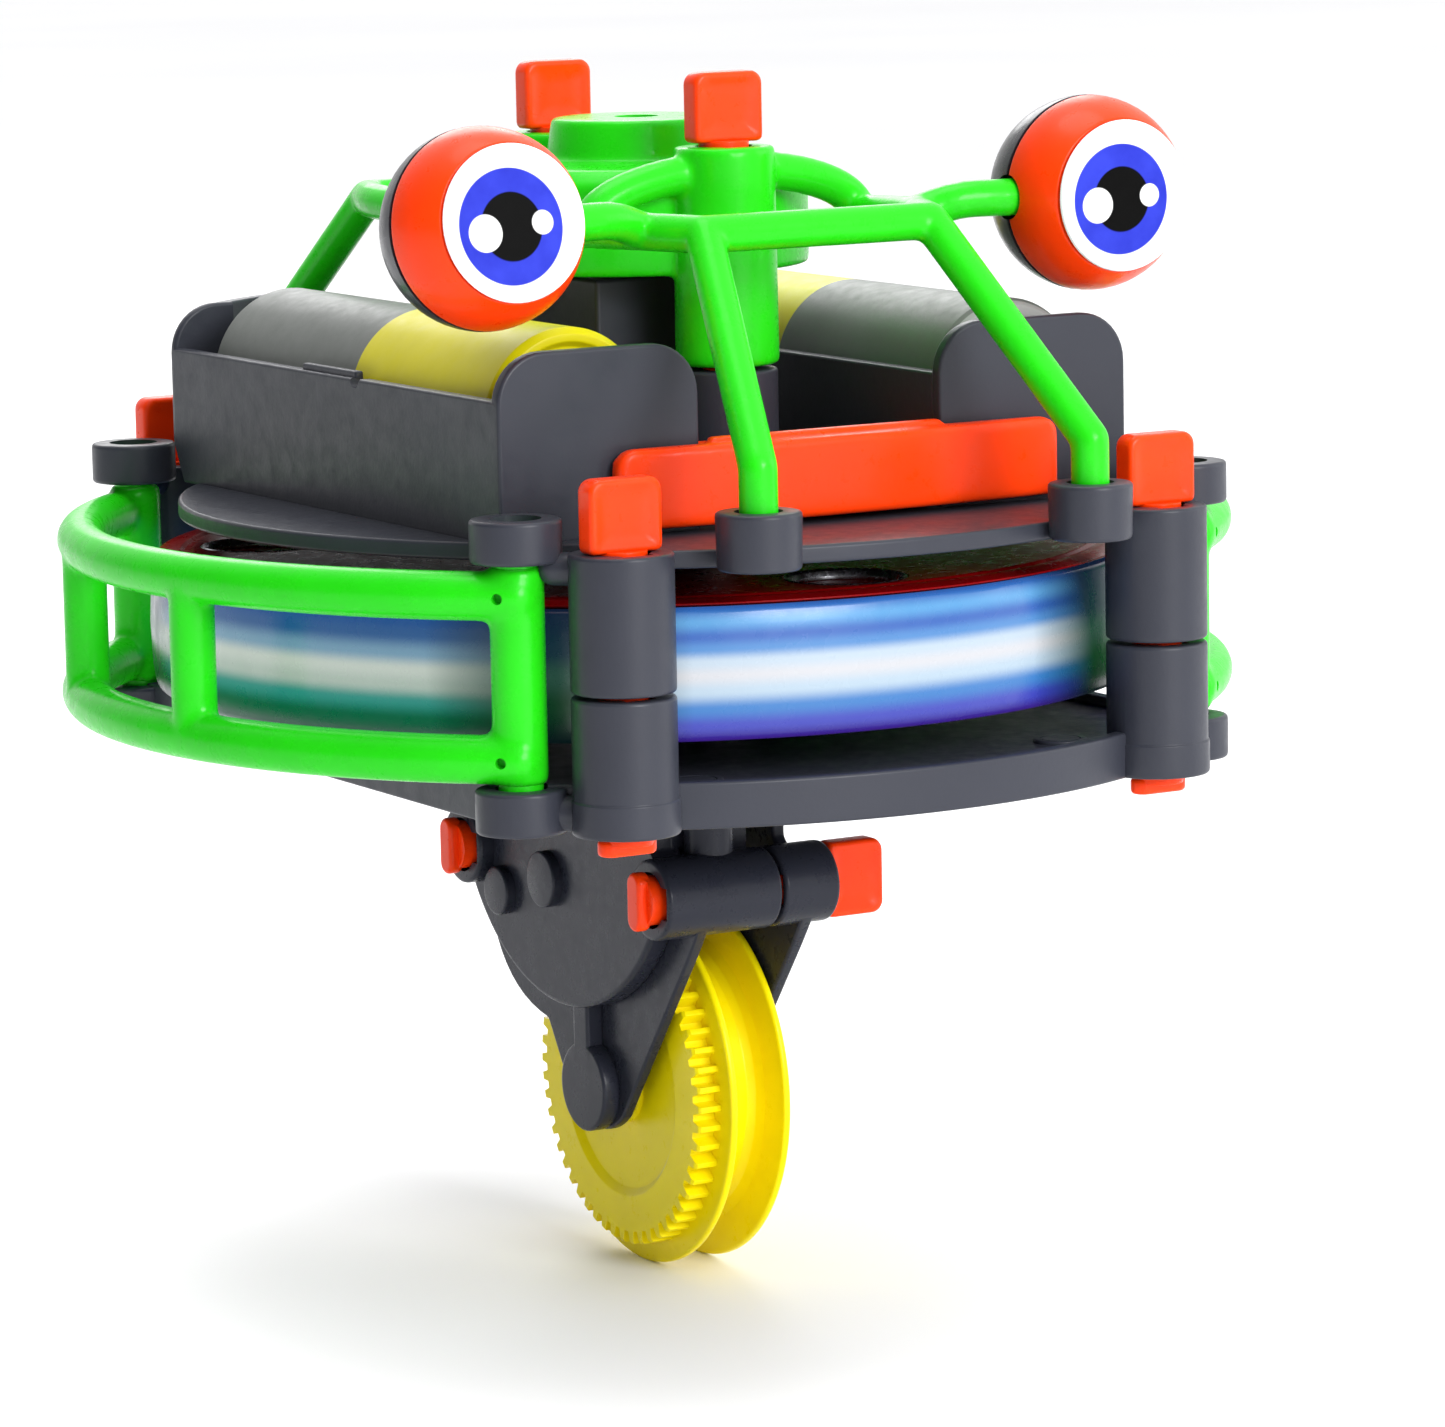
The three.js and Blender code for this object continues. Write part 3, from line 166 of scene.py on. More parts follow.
def turned(profile, axis="z", at=(0, 0), soft=SOFT, steps=STEPS):
    """A lathe of (radius, height) pairs, closed on the axis or on itself."""
    on_axis = profile[0][0] == 0
    path = softened(profile, soft, closed=not on_axis)
    rings, verts, faces = [], [], []
    for r, h in path:
        count = steps if r > 1e-6 else 1
        rings.append(range(len(verts), len(verts) + count))
        for i in range(count):
            t = 2 * math.pi * i / steps
            verts.append(spot(axis, at[0] + r * math.cos(t), at[1] + r * math.sin(t), h))
    follow = rings[1:] + ([] if on_axis else rings[:1])
    for a, b in zip(rings, follow):
        for i in range(steps):
            j = (i + 1) % steps
            quad = dict.fromkeys((a[i % len(a)], a[j % len(a)], b[j % len(b)], b[i % len(b)]))
            if len(quad) > 2:
                faces.append(tuple(quad))
    return mesh_from(verts, faces)


def rod(axis, r, span, at=(0, 0), soft=SOFT, steps=STEPS):
    a, b = span
    return turned([(0, a), (r, a), (r, b), (0, b)], axis, at, soft, steps)


def hole(axis, r, span, at=(0, 0), steps=STEPS):
    return rod(axis, r, span, at, 0, steps)


def ring(inner, outer, z, soft=SOFT, axis="z", at=(0, 0)):
    return turned([(inner, z[0]), (outer, z[0]), (outer, z[1]), (inner, z[1])], axis, at, soft)


def stacked(outlines, heights, axis="z"):
    """A closed body through outlines of the same length, one at each height."""
    count = len(outlines[0])
    verts = [spot(axis, p[0], p[1], h) for r, h in zip(outlines, heights) for p in r]
    faces = [tuple(range(count)), tuple(range(len(verts) - count, len(verts)))]
    for k in range(len(outlines) - 1):
        for i in range(count):
            j = (i + 1) % count
            faces.append((k * count + i, k * count + j, (k + 1) * count + j, (k + 1) * count + i))
    return mesh_from(verts, faces)


def layered(outline, path, axis="z"):
    """A closed body from a counter-clockwise outline at each (inset, height) of a path."""
    return stacked([inset(outline, d) for d, _ in path], [h for _, h in path], axis)


def slab(outline, span, axis="z", soft=SOFT):
    """A flat outline raised along an axis, its edges rounded."""
    a, b = span
    outline = counter_clockwise(outline)
    if soft <= 0:
        return layered(outline, [(0, a), (0, b)], axis)
    quarter = [k * math.pi / 6 for k in range(4)]
    low = [(soft * (1 - math.sin(t)), a + soft * (1 - math.cos(t))) for t in quarter]
    high = [(d, b + a - h) for d, h in reversed(low)]
    return layered(outline, low + high, axis)


def block(x, y, z, soft=SOFT):
    corners = [(x[0], y[0]), (x[1], y[0]), (x[1], y[1]), (x[0], y[1])]
    return slab(softened(corners, soft) if soft > 0 else corners, z, "z", soft)


def smooth_line(points, parts):
    """A Catmull-Rom curve through the points."""
    p = [np.array(q, float) for q in points]
    if len(p) == 2:
        return [p[0] + (p[1] - p[0]) * k / parts for k in range(parts + 1)]
    p = [2 * p[0] - p[1]] + p + [2 * p[-1] - p[-2]]
    out = []
    for a, b, c, d in zip(p, p[1:], p[2:], p[3:]):
        for k in range(parts):
            t = k / parts
            out.append(0.5 * (2 * b + (c - a) * t + (2 * a - 5 * b + 4 * c - d) * t * t
                              + (3 * b - a - 3 * c + d) * t ** 3))
    return out + [p[-2]]


def bar(points, r, parts=8, sides=28):
    """A round bar with domed ends along straight or smoothly bent points."""
    line = smooth_line(points, parts)
    run = [b - a for a, b in zip(line, line[1:])]
    run = [run[0]] + [a / np.linalg.norm(a) + b / np.linalg.norm(b)
                      for a, b in zip(run, run[1:])] + [run[-1]]
    run = [t / np.linalg.norm(t) for t in run]
    side = np.cross(run[0], (0.31, 0.2, 0.93))
    stations = []
    dome = [(k * math.pi / 10) for k in range(1, 5)]
    for t in dome:
        stations.append((line[0] - run[0] * r * math.cos(t), run[0], r * math.sin(t)))
    for p, t in zip(line, run):
        stations.append((p, t, r))
    for t in reversed(dome):
        stations.append((line[-1] + run[-1] * r * math.cos(t), run[-1], r * math.sin(t)))
    verts, faces = [], []
    for p, t, radius in stations:
        side = side - t * np.dot(side, t)
        side /= np.linalg.norm(side)
        other = np.cross(t, side)
        for i in range(sides):
            a = 2 * math.pi * i / sides
            verts.append(p + radius * (side * math.cos(a) + other * math.sin(a)))
    for k in range(len(stations) - 1):
        for i in range(sides):
            j = (i + 1) % sides
            faces.append((k * sides + i, k * sides + j, (k + 1) * sides + j, (k + 1) * sides + i))
    faces += [tuple(range(sides)), tuple(range(len(verts) - sides, len(verts)))]
    return mesh_from(verts, faces)


def moved(me, by):
    me.transform(Matrix.Translation(by))
    return me


def turned_by(me, degrees, axis, about=(0, 0, 0)):
    pivot = Matrix.Translation(about)
    me.transform(pivot @ Matrix.Rotation(math.radians(degrees), 4, axis) @ pivot.inverted())
    return me


def mirrored(me, axis):
    other = me.copy()
    other.transform(Matrix.Scale(-1, 4, Vector((axis == "x", axis == "y", axis == "z"))))
    other.flip_normals()
    return other


def with_modifier(me, kind, extra=None, **settings):
    """The mesh after one modifier."""
    ob = bpy.data.objects.new("work", me)
    bpy.context.scene.collection.objects.link(ob)
    modifier = ob.modifiers.new("work", kind)
    tool = None
    if extra is not None:
        tool = bpy.data.objects.new("tool", extra)
        bpy.context.scene.collection.objects.link(tool)
        modifier.object = tool
    for key, value in settings.items():
        setattr(modifier, key, value)
    dg = bpy.context.evaluated_depsgraph_get()
    made = bpy.data.meshes.new_from_object(ob.evaluated_get(dg))
    bpy.data.objects.remove(ob)
    if tool is not None:
        bpy.data.objects.remove(tool)
    return made


def combine(a, b, operation):
    return with_modifier(a, "BOOLEAN", b, operation=operation, solver="MANIFOLD")


def join(*meshes):
    whole = meshes[0]
    for me in meshes[1:]:
        whole = combine(whole, me, "UNION")
    return whole


def cut(me, *tools):
    for tool in tools:
        me = combine(me, tool, "DIFFERENCE")
    return me


def both(me, axis):
    return join(me, mirrored(me, axis))


def fourfold(me):
    return both(both(me, "x"), "y")


def piled(*meshes):
    """Several closed meshes in one, not united."""
    bm = bmesh.new()
    for me in meshes:
        bm.from_mesh(me)
    made = bpy.data.meshes.new("pile")
    bm.to_mesh(made)
    bm.free()
    return made


def fused(me, voxel, rounds):
    """The mesh remade on a fine grid and smoothed, so that bars run into each other with fillets."""
    me = with_modifier(me, "REMESH", mode="VOXEL", voxel_size=voxel)
    return with_modifier(me, "SMOOTH", factor=0.5, iterations=rounds)


# ---- shader nodes ---------------------------------------------------------------------------


def linear(rgb):
    """Linear colour from sRGB 0..255."""
    c = [v / 255 for v in rgb]
    return tuple(v / 12.92 if v <= 0.04045 else ((v + 0.055) / 1.055) ** 2.4 for v in c) + (1,)


class Nodes:
    """Short ways to add and link the shader nodes of a new material."""

    def __init__(self, name):
        self.material = bpy.data.materials.new(name)
        self.begin(self.material, "Principled BSDF", "Object")

    def begin(self, owner, shader, place):
        owner.use_nodes = True
        self.tree = owner.node_tree
        self.shader = self.tree.nodes[shader]
        self.place = self.add("ShaderNodeTexCoord").outputs[place]

    def add(self, kind, **settings):
        node = self.tree.nodes.new(kind)
        for key, value in settings.items():
            setattr(node, key, value)
        return node

    def link(self, a, b):
        self.tree.links.new(a, b)

    def noise(self, scale, detail=3, place=None, rough=0.5):
        node = self.add("ShaderNodeTexNoise")
        self.link(place or self.place, node.inputs["Vector"])
        node.inputs["Scale"].default_value = scale
        node.inputs["Detail"].default_value = detail
        node.inputs["Roughness"].default_value = rough
        return node.outputs["Fac"]

    def remap(self, value, low, high, to_low, to_high, kind="LINEAR"):
        node = self.add("ShaderNodeMapRange", interpolation_type=kind)
        self.link(value, node.inputs["Value"])
        for key, number in zip(("From Min", "From Max", "To Min", "To Max"),
                               (low, high, to_low, to_high)):
            node.inputs[key].default_value = number
        return node.outputs["Result"]

    def math(self, operation, a, b=None):
        node = self.add("ShaderNodeMath", operation=operation)
        for socket, value in zip(node.inputs, (a, b)):
            if isinstance(value, (int, float)):
                socket.default_value = value
            elif value is not None:
                self.link(value, socket)
        return node.outputs[0]

    def ramp(self, value, stops, kind="EASE"):
        node = self.add("ShaderNodeValToRGB")
        self.link(value, node.inputs["Fac"])
        node.color_ramp.interpolation = kind
        elements = node.color_ramp.elements
        while len(elements) < len(stops):
            elements.new(0.5)
        for element, (at, rgb) in zip(elements, stops):
            element.position = at
            element.color = linear(rgb)
        return node.outputs["Color"]

    def blend(self, share, a, b, mode="MIX"):
        node = self.add("ShaderNodeMix", data_type="RGBA", blend_type=mode)
        for socket, value in zip((node.inputs[0], node.inputs[6], node.inputs[7]), (share, a, b)):
            if isinstance(value, tuple):
                socket.default_value = value
            elif isinstance(value, (int, float)):
                socket.default_value = value
            else:
                self.link(value, socket)
        return node.outputs[2]

    def split(self, vector=None):
        node = self.add("ShaderNodeSeparateXYZ")
        self.link(vector or self.place, node.inputs[0])
        return node.outputs

    def set(self, wanted, value):
        """A plain value on one of the shader's sockets, named in lower case."""
        socket = next(s for s in self.shader.inputs if s.name.lower() == wanted)
        socket.default_value = value

    def stretched(self, scale):
        node = self.add("ShaderNodeVectorMath", operation="MULTIPLY")
        self.link(self.place, node.inputs[0])
        node.inputs[1].default_value = scale
        return node.outputs[0]

    def bump(self, height, strength, distance):
        node = self.add("ShaderNodeBump")
        node.inputs["Strength"].default_value = strength
        node.inputs["Distance"].default_value = distance
        self.link(height, node.inputs["Height"])
        self.link(node.outputs[0], self.shader.inputs["Normal"])


class SkyNodes(Nodes):
    """The same for a world, where a place is a direction."""

    def __init__(self, world):
        self.begin(world, "Background", "Generated")


# ---- materials ------------------------------------------------------------------------------


def plastic(name, rgb, rough=0.35, coat=0.0, vary=0.08, grain=0.10, glow=0.0, colour=None,
            shine=0.28):
    """Moulded plastic: cloudy colour, uneven gloss, fine mould texture and faint flow waves.
    colour(nodes) may give the colour socket of a piece that is printed or in two colours."""
    n = Nodes(name)
    cloud = n.noise(160, 4)
    base = colour(n) if colour else linear(rgb)
    shade = n.remap(cloud, 0.3, 0.7, 1 - vary, 1 + vary)
    scaled = n.add("ShaderNodeVectorMath", operation="SCALE")
    if isinstance(base, tuple):
        scaled.inputs[0].default_value = base[:3]
    else:
        n.link(base, scaled.inputs[0])
    n.link(shade, scaled.inputs["Scale"])
    n.link(scaled.outputs[0], n.shader.inputs["Base Color"])
    scuff = n.noise(700, 5, rough=0.7)
    n.link(n.remap(scuff, 0.35, 0.75, max(rough - 0.06, 0.02), rough + 0.1),
           n.shader.inputs["Roughness"])
    n.bump(n.math("ADD", n.noise(2600, 2), n.noise(240, 2)), grain, 0.00012)
    n.set("specular ior level", shine)
    n.set("coat weight", coat)
    n.set("coat roughness", 0.12)
    if glow:
        n.set("subsurface weight", glow)
        n.set("subsurface radius", (0.0012, 0.0012, 0.0006))
        n.set("subsurface scale", 1.0)
    return n.material


def metal(name, rgb, rough=0.25, brushed=0.3):
    """Worked metal: fine brush marks, uneven gloss and a little tarnish."""
    n = Nodes(name)
    tarnish = n.noise(350, 4)
    n.link(n.blend(n.remap(tarnish, 0.35, 0.75, 0, 0.5), linear(rgb),
                   linear([v * 0.72 for v in rgb])), n.shader.inputs["Base Color"])
    n.set("metallic", 1.0)
    n.link(n.remap(n.noise(1400, 4), 0.3, 0.7, rough - 0.08, rough + 0.12),
           n.shader.inputs["Roughness"])
    n.bump(n.noise(1, 3, n.stretched((300, 300, 6000))), brushed, 0.00003)
    return n.material


def about_axis(n):
    """x and y of the shaded point from the spin axis, and its z, in metres."""
    x, y, z = n.split()
    return n.math("SUBTRACT", x, AXIS_X), y, z


GLOWS = {"count": 5, "centre": -93}            # the lamps' long exposures around the rim
GUARD_REFLECTION_AT = -165                               # degrees; where the glow carries a painted reflection of the green guard


def light_band():
    """The lit rim in motion: a white streak between blues, in long glows with dark gaps."""
    n = Nodes("light_band_glow")
    x, y, z = about_axis(n)
    height = n.remap(z, band_low.z, band_high.z, 0, 1)
    angle = n.math("DIVIDE", n.math("ARCTAN2", y, x), 2 * math.pi)
    turn = n.math("SUBTRACT", angle, GLOWS["centre"] / 360)
    lobes = n.math("COSINE", n.math("MULTIPLY", turn, GLOWS["count"] * 2 * math.pi))
    wobble = n.remap(n.noise(28, 2), 0.3, 0.7, -0.12, 0.12)
    lit = n.remap(n.math("ADD", lobes, wobble), -0.97, -0.3, 0, 1)
    bright = n.ramp(height, [
        (0.00, (60, 30, 140)), (0.12, (58, 68, 192)), (0.25, (56, 130, 206)),
        (0.38, (192, 214, 232)), (0.50, (220, 222, 228)), (0.60, (200, 218, 234)),
        (0.70, (84, 146, 214)), (0.79, (54, 106, 194)), (0.90, (94, 168, 228)),
        (1.00, (50, 108, 192))])
    # painted reflection of the green guard, which takes the place of the white streak on one side
    guard_reflection = n.ramp(height, [
        (0.00, (2, 66, 48)), (0.16, (4, 96, 66)), (0.30, (40, 140, 130)), (0.42, (168, 184, 174)),
        (0.54, (190, 200, 192)), (0.66, (110, 150, 176)), (0.80, (30, 84, 140)),
        (1.00, (34, 76, 150))])
    dark = n.ramp(height, [
        (0.00, (8, 26, 28)), (0.3, (12, 58, 34)), (0.52, (40, 78, 66)), (0.7, (20, 48, 62)),
        (1.00, (16, 34, 60))])
    # share of the painted guard reflection, strongest around one angle
    turn = n.math("MULTIPLY", n.math("SUBTRACT", angle, GUARD_REFLECTION_AT / 360), 2 * math.pi)
    guard_reflection_share = n.remap(n.math("COSINE", turn), 0.76, 0.86, 0, 1)
    glow = n.blend(lit, dark, n.blend(guard_reflection_share, bright, guard_reflection))
    n.link(n.blend(1.0, glow, (0.22, 0.22, 0.22, 1), "MULTIPLY"), n.shader.inputs["Base Color"])
    n.link(glow, n.shader.inputs["Emission Color"])
    n.set("emission strength", 0.74)
    n.link(n.remap(n.noise(500, 3), 0.3, 0.7, 0.22, 0.34), n.shader.inputs["Roughness"])
    n.bump(n.noise(1, 2, n.stretched((60, 60, 9000))), 0.12, 0.00002)
    return n.material


def eye_print(side):
    """The printed disc: white, blue iris, black pupil and two round highlights."""
    n = Nodes(f"{side}_eye_print")
    x_span, _, z_span = box_mm(f"{side}_eye_face")
    x, _, z = n.split()
    right = n.math("SUBTRACT", x, AXIS_X + middle(x_span) * MM)
    lift = n.math("SUBTRACT", z, middle(z_span) * MM)

    def disc(at, r, edge=0.05):
        du = n.math("SUBTRACT", right, at[0] * MM)
        dv = n.math("SUBTRACT", lift, at[1] * MM)
        far = n.math("SQRT", n.math("ADD", n.math("MULTIPLY", du, du), n.math("MULTIPLY", dv, dv)))
        return n.remap(far, (r - edge) * MM, (r + edge) * MM, 1, 0)

    white = n.blend(n.remap(n.noise(300, 3), 0.3, 0.7, 0, 1), linear((240, 241, 250)),
                    linear((250, 250, 255)))
    blue = n.blend(n.remap(n.noise(420, 3), 0.3, 0.7, 0, 1), linear((38, 48, 172)),
                   linear((48, 60, 188)))
    colour = n.blend(disc((-0.4, -0.25), 4.4), white, blue)
    colour = n.blend(disc((-0.35, -0.25), 2.6), colour, linear((1, 1, 1)))
    colour = n.blend(disc((-2.6, -0.65), 1.4), colour, linear((255, 255, 255)))
    colour = n.blend(disc((2.3, -0.05), 0.9), colour, linear((255, 255, 255)))
    n.set("specular ior level", 0.06)
    n.link(colour, n.shader.inputs["Base Color"])
    n.link(n.remap(n.noise(900, 3), 0.3, 0.7, 0.4, 0.5), n.shader.inputs["Roughness"])
    n.bump(n.noise(3000, 2), 0.05, 0.00005)
    return n.material


SLEEVE = {"split": -0.5, "edge": 0.05, "crimp": 0.45}


def sleeve(side):
    """A cell's printed sleeve, in two colours along its length, with crimped metal ends."""
    y_span = box_mm(f"{side}_battery")[1]

    def colour(n):
        y = n.split()[1]
        split, edge, crimp_y = SLEEVE["split"], SLEEVE["edge"], SLEEVE["crimp"]
        front = n.remap(y, (split - edge) * MM, (split + edge) * MM, 0, 1)
        yellow, grey = linear((212, 202, 4)), linear((104, 108, 104))
        pair = (yellow, grey) if side == "left" else (grey, yellow)
        body = n.blend(front, *pair)
        low, high = y_span[0] + crimp_y, y_span[1] - crimp_y
        crimp = n.math("ADD", n.remap(y, (low - edge) * MM, low * MM, 1, 0),
                       n.remap(y, high * MM, (high + edge) * MM, 0, 1))
        return n.blend(crimp, body, linear((150, 152, 150)))

    return plastic(f"{side}_cell_sleeve", None, 0.42, 0.0, 0.05, 0.03, colour=colour)


def circuit():
    """Solder mask with faint copper traces under it."""
    def colour(n):
        cells = n.add("ShaderNodeTexVoronoi", feature="DISTANCE_TO_EDGE")
        n.link(n.place, cells.inputs["Vector"])
        cells.inputs["Scale"].default_value = 320
        trace = n.remap(cells.outputs["Distance"], 0.03, 0.06, 0.7, 0)
        return n.blend(trace, linear((14, 84, 40)), linear((36, 120, 64)))
    return plastic("solder_mask", None, 0.35, 0.3, 0.06, 0.1, colour=colour)


MATERIALS = {
    "deck_plastic": plastic("slate_plastic", (50, 52, 61), 0.38, 0.0, 0.05, 0.09),
    "green_plastic": plastic("green_plastic", (34, 206, 18), 0.3, 0.06, 0.05, 0.08, 0.1,
                             shine=0.2),
    "orange_plastic": plastic("orange_plastic", (253, 62, 4), 0.32, 0.06, 0.04, 0.08, 0.1,
                              shine=0.18),
    "yellow_plastic": plastic("yellow_plastic", (246, 226, 4), 0.32, 0.05, 0.04, 0.10, 0.1,
                              shine=0.15),
    "black_plastic": plastic("black_plastic", (22, 22, 26), 0.4, 0.0, 0.1, 0.2),
    "cap_plastic": plastic("dark_red_plastic", (126, 2, 5), 0.3, 0.0, 0.06, 0.04, shine=0.08),
    "gear_plastic": plastic("gear_plastic", (228, 226, 214), 0.35, 0.0, 0.03, 0.1, 0.1),
    "eye_back": plastic("eye_back_plastic", (44, 44, 52), 0.3, 0.15, 0.06, 0.10),
    "led_lens": plastic("led_lens", (205, 222, 255), 0.08, 0.5, 0.03, 0.02),
    "circuit_board": circuit(),
    "light_band": light_band(),
    "steel": metal("steel", (196, 198, 204)),
    "brass": metal("brass", (196, 158, 82)),
}

# ---- placing pieces -------------------------------------------------------------------------

BODY_OF = {n: b for b, ns in frame["record"]["behaviour"]["bodies"].items() for n in ns}
TO_FRAME = Matrix.Translation((AXIS_X, 0, 0)) @ Matrix.Scale(MM, 4)


def piece(name, me, node, slot, material=None, crease=38, body=None):
    """One finished piece that stands for a CAD node, or for none, and rides on its body."""
    me.transform(TO_FRAME)
    me.name = name
    me.materials.clear()
    me.materials.append(material or MATERIALS[slot])
    me.shade_smooth()
    me.set_sharp_from_angle(angle=math.radians(crease))
    ob = bpy.data.objects.new(name, me)
    bpy.context.scene.collection.objects.link(ob)
    weighted = ob.modifiers.new("even_shading", "WEIGHTED_NORMAL")
    weighted.keep_sharp = True
    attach(ob, body or BODY_OF[node])
    if node:
        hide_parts(node)


# ---- decks ----------------------------------------------------------------------------------

DECK_LOW, UPPER_TOP = box_mm("lower_deck")[2][0], 60.5
LOWER_RIM, LOWER_FLOOR, SKIN = 43.1, 42.3, 1.5
UPPER_BOTTOM = 59.1
POST = (24.0, 39.0)
POST_R = 4.0
SEAM_Z = 50.1
GAP = 0.3
RING = (30.1, 33.8)
RING_R = 3.5
RING_HOLE = 2.0
LEG = (14.8, 43.7)
LEG_TOP = 63.6
HUB_POST_Y = 14.0
HUB_POST_TOP = 71.3
BORE_R = 2.3
KEY = (1.3, 2.75)
TUBE_R, TUBE_Z, TUBE_X = 3.3, 29.1, (-8.6, 7.3)     # gearbox clamp tubes
TUBES_Y = (-14.8, 17.4)
GEARBOX_SCREWS = ((-2.5, -13.8), (-2.5, 15.6))


def keyway(x, y, z, axis="z"):
    """The bore for a pin and the slot its end bar passes through."""
    if axis == "z":
        slot = block((x - KEY[0], x + KEY[0]), (y - KEY[1], y + KEY[1]), z, 0)
        return join(hole("z", BORE_R, z, (x, y)), slot)
    slot = block(z, (x - KEY[1], x + KEY[1]), (y - KEY[0], y + KEY[0]), 0)
    return join(hole("x", BORE_R, z, (x, y)), slot)


def lower_deck():
    r, half = 45.0, 30.5
    corner = math.acos(half / r)
    outline = arc(r, corner, math.pi - corner, 56)
    outline += arc(r, math.pi + corner, 2 * math.pi - corner, 56)
    outline = counter_clockwise(softened(outline, 0.6))
    path = softened([(1.8, LOWER_FLOOR - SKIN), (1.8, DECK_LOW), (0.0, DECK_LOW), (0.0, LOWER_RIM),
                     (1.3, LOWER_RIM), (1.3, LOWER_FLOOR), (1.9, LOWER_FLOOR)], 0.25, closed=False)
    body = layered(outline, path)
    shaft_ring = ring(23, 24.2, (DECK_LOW + 0.3, LOWER_FLOOR - 0.5))
    post = turned([(0, DECK_LOW), (POST_R + 0.12, DECK_LOW), (POST_R + 0.12, 42.1), (POST_R, 42.2),
                   (POST_R, SEAM_Z - GAP / 2), (0, SEAM_Z - GAP / 2)], at=POST, soft=0.3)
    socket = rod("z", RING_R, (DECK_LOW, 42.9), RING, 0.35)
    web_z = DECK_LOW + 1.5
    post_web = bar([(RING[0] - 1.2, RING[1] + 1.2, web_z), (*POST, web_z)], 1.4)
    rim_web = bar([(RING[0] - 5, RING[1] - 2.2, web_z), (*RING, web_z)], 1.4)
    stud = rod("z", 2.1, (LOWER_FLOOR - 1, LOWER_FLOOR + 0.3), (16.5, 36.5), 0.12)
    stud_mark = ring(1.5, 1.62, (LOWER_FLOOR + 0.2, LOWER_FLOOR + 1), 0, "z", (16.5, 36.5))
    corner_parts = cut(join(post, socket, post_web, rim_web, stud), stud_mark)
    body = join(body, fourfold(corner_parts), shaft_ring,
                rod("z", 4.2, (DECK_LOW + 0.2, LOWER_FLOOR + 0.4), soft=0.2))
    ribs = [turned_by(block((5, 22), (-0.5, 0.5), (DECK_LOW + 0.5, LOWER_FLOOR - 1)), a, "Z")
            for a in (20, 160, 200, 340)]
    body = join(body, *ribs)
    holes = fourfold(join(keyway(*POST, (DECK_LOW - 1, SEAM_Z + 1)),
                          hole("z", RING_HOLE, (DECK_LOW - 1, 45), RING)))
    screws = [hole("z", 1.25, (DECK_LOW - 1, 45), at) for at in GEARBOX_SCREWS]
    return cut(body, holes, *screws, hole("z", 2.65, (40.3, 45)), hole("z", 1.5, (38, 45)))


def tray_panel(half, height, radius, y):
    outline = [(-half, 0), (half, 0)]
    outline += arc(radius, 0, math.pi / 2, 10, (half - radius, height - radius))
    outline += arc(radius, math.pi / 2, math.pi, 10, (-half + radius, height - radius))
    return slab(outline, y, "y", 0.3)


TRAY = {"inner": 10.9, "outer": 28.4, "front": -28.3, "rear": 28.7, "wall": 1.25, "rear_r": 38.3}
TRAY_TOP = {"ends": 75.0, "inner": 71.1, "outer": 71.4}
CELL = {"x": 19.65, "z": 69.1, "r": 7.15}
SNAP = {"y": (-3.6, 5.8), "height": 0.5, "notch": 0.75}


def battery_tray():
    base = UPPER_TOP - 0.2
    inner, outer, front, rear, wall, rear_r = TRAY.values()
    ends, low_top, top = TRAY_TOP["ends"], TRAY_TOP["inner"], TRAY_TOP["outer"]
    rib_end = 23.4

    def end_wall(y):
        return moved(tray_panel((outer - inner) / 2, ends - base, 4.0, y),
                     (middle((inner, outer)), 0, base))

    inner_wall = block((inner, inner + wall), (front + wall - 0.2, 33), (base, low_top), 0.25)
    rib = block((inner, rib_end), (rear, rear + 1), (base, low_top))
    outer_wall = block((outer - wall, outer), (front + 0.4, rear + 0.5), (base, top), 0.25)
    # a small round notch in front of the snap tab
    notch = hole("x", SNAP["notch"], (outer - 2 * wall, outer + 1),
                 (SNAP["y"][0] - SNAP["notch"], top))
    tab = block((outer - wall, outer - 0.5), SNAP["y"], (top - 1, top + SNAP["height"]), 0.2)
    corner = combine(end_wall((rear, rear + 0.9)),
                     block((rib_end - 0.5, outer + 1), (rear - 1, rear + 2), (base - 1, ends + 1), 0),
                     "INTERSECT")
    flare = turned([(0, base - 1), (rear_r + 1.3, base - 1), (rear_r + 1.3, base),
                    (rear_r + 3, base + 4.5), (rear_r + 3, ends + 1), (0, ends + 1)],
                   soft=0.5, steps=128)
    outside = combine(join(cut(join(outer_wall, tab), notch), corner), flare, "INTERSECT")
    start = math.asin((inner + 0.1) / rear_r)
    end = math.asin((rib_end + 0.9) / rear_r)
    bow = [(rear_r * math.sin(t), rear_r * math.cos(t)) for t in np.linspace(start, end, 28)]
    bow += [((rear_r - 1.2) * math.sin(t), (rear_r - 1.2) * math.cos(t))
            for t in np.linspace(end, start, 28)]
    rear_wall = slab(softened(bow, 0.3), (base, ends), "z", 0.25)
    leg_notch = block((inner - 1, 15.4), (30, 40), (low_top, ends + 1), 0)
    cradles = join(block((13.4, 24.6), (-15, -13.6), (base, 64.4)),
                   block((13.4, 24.6), (14, 15.4), (base, 64.4)))
    seat = hole("y", CELL["r"] + GAP, (-27, 27), (CELL["x"], CELL["z"]))
    return join(end_wall((front, front + wall)), inner_wall, outside, cut(rear_wall, leg_notch),
                rib, cut(cradles, seat))


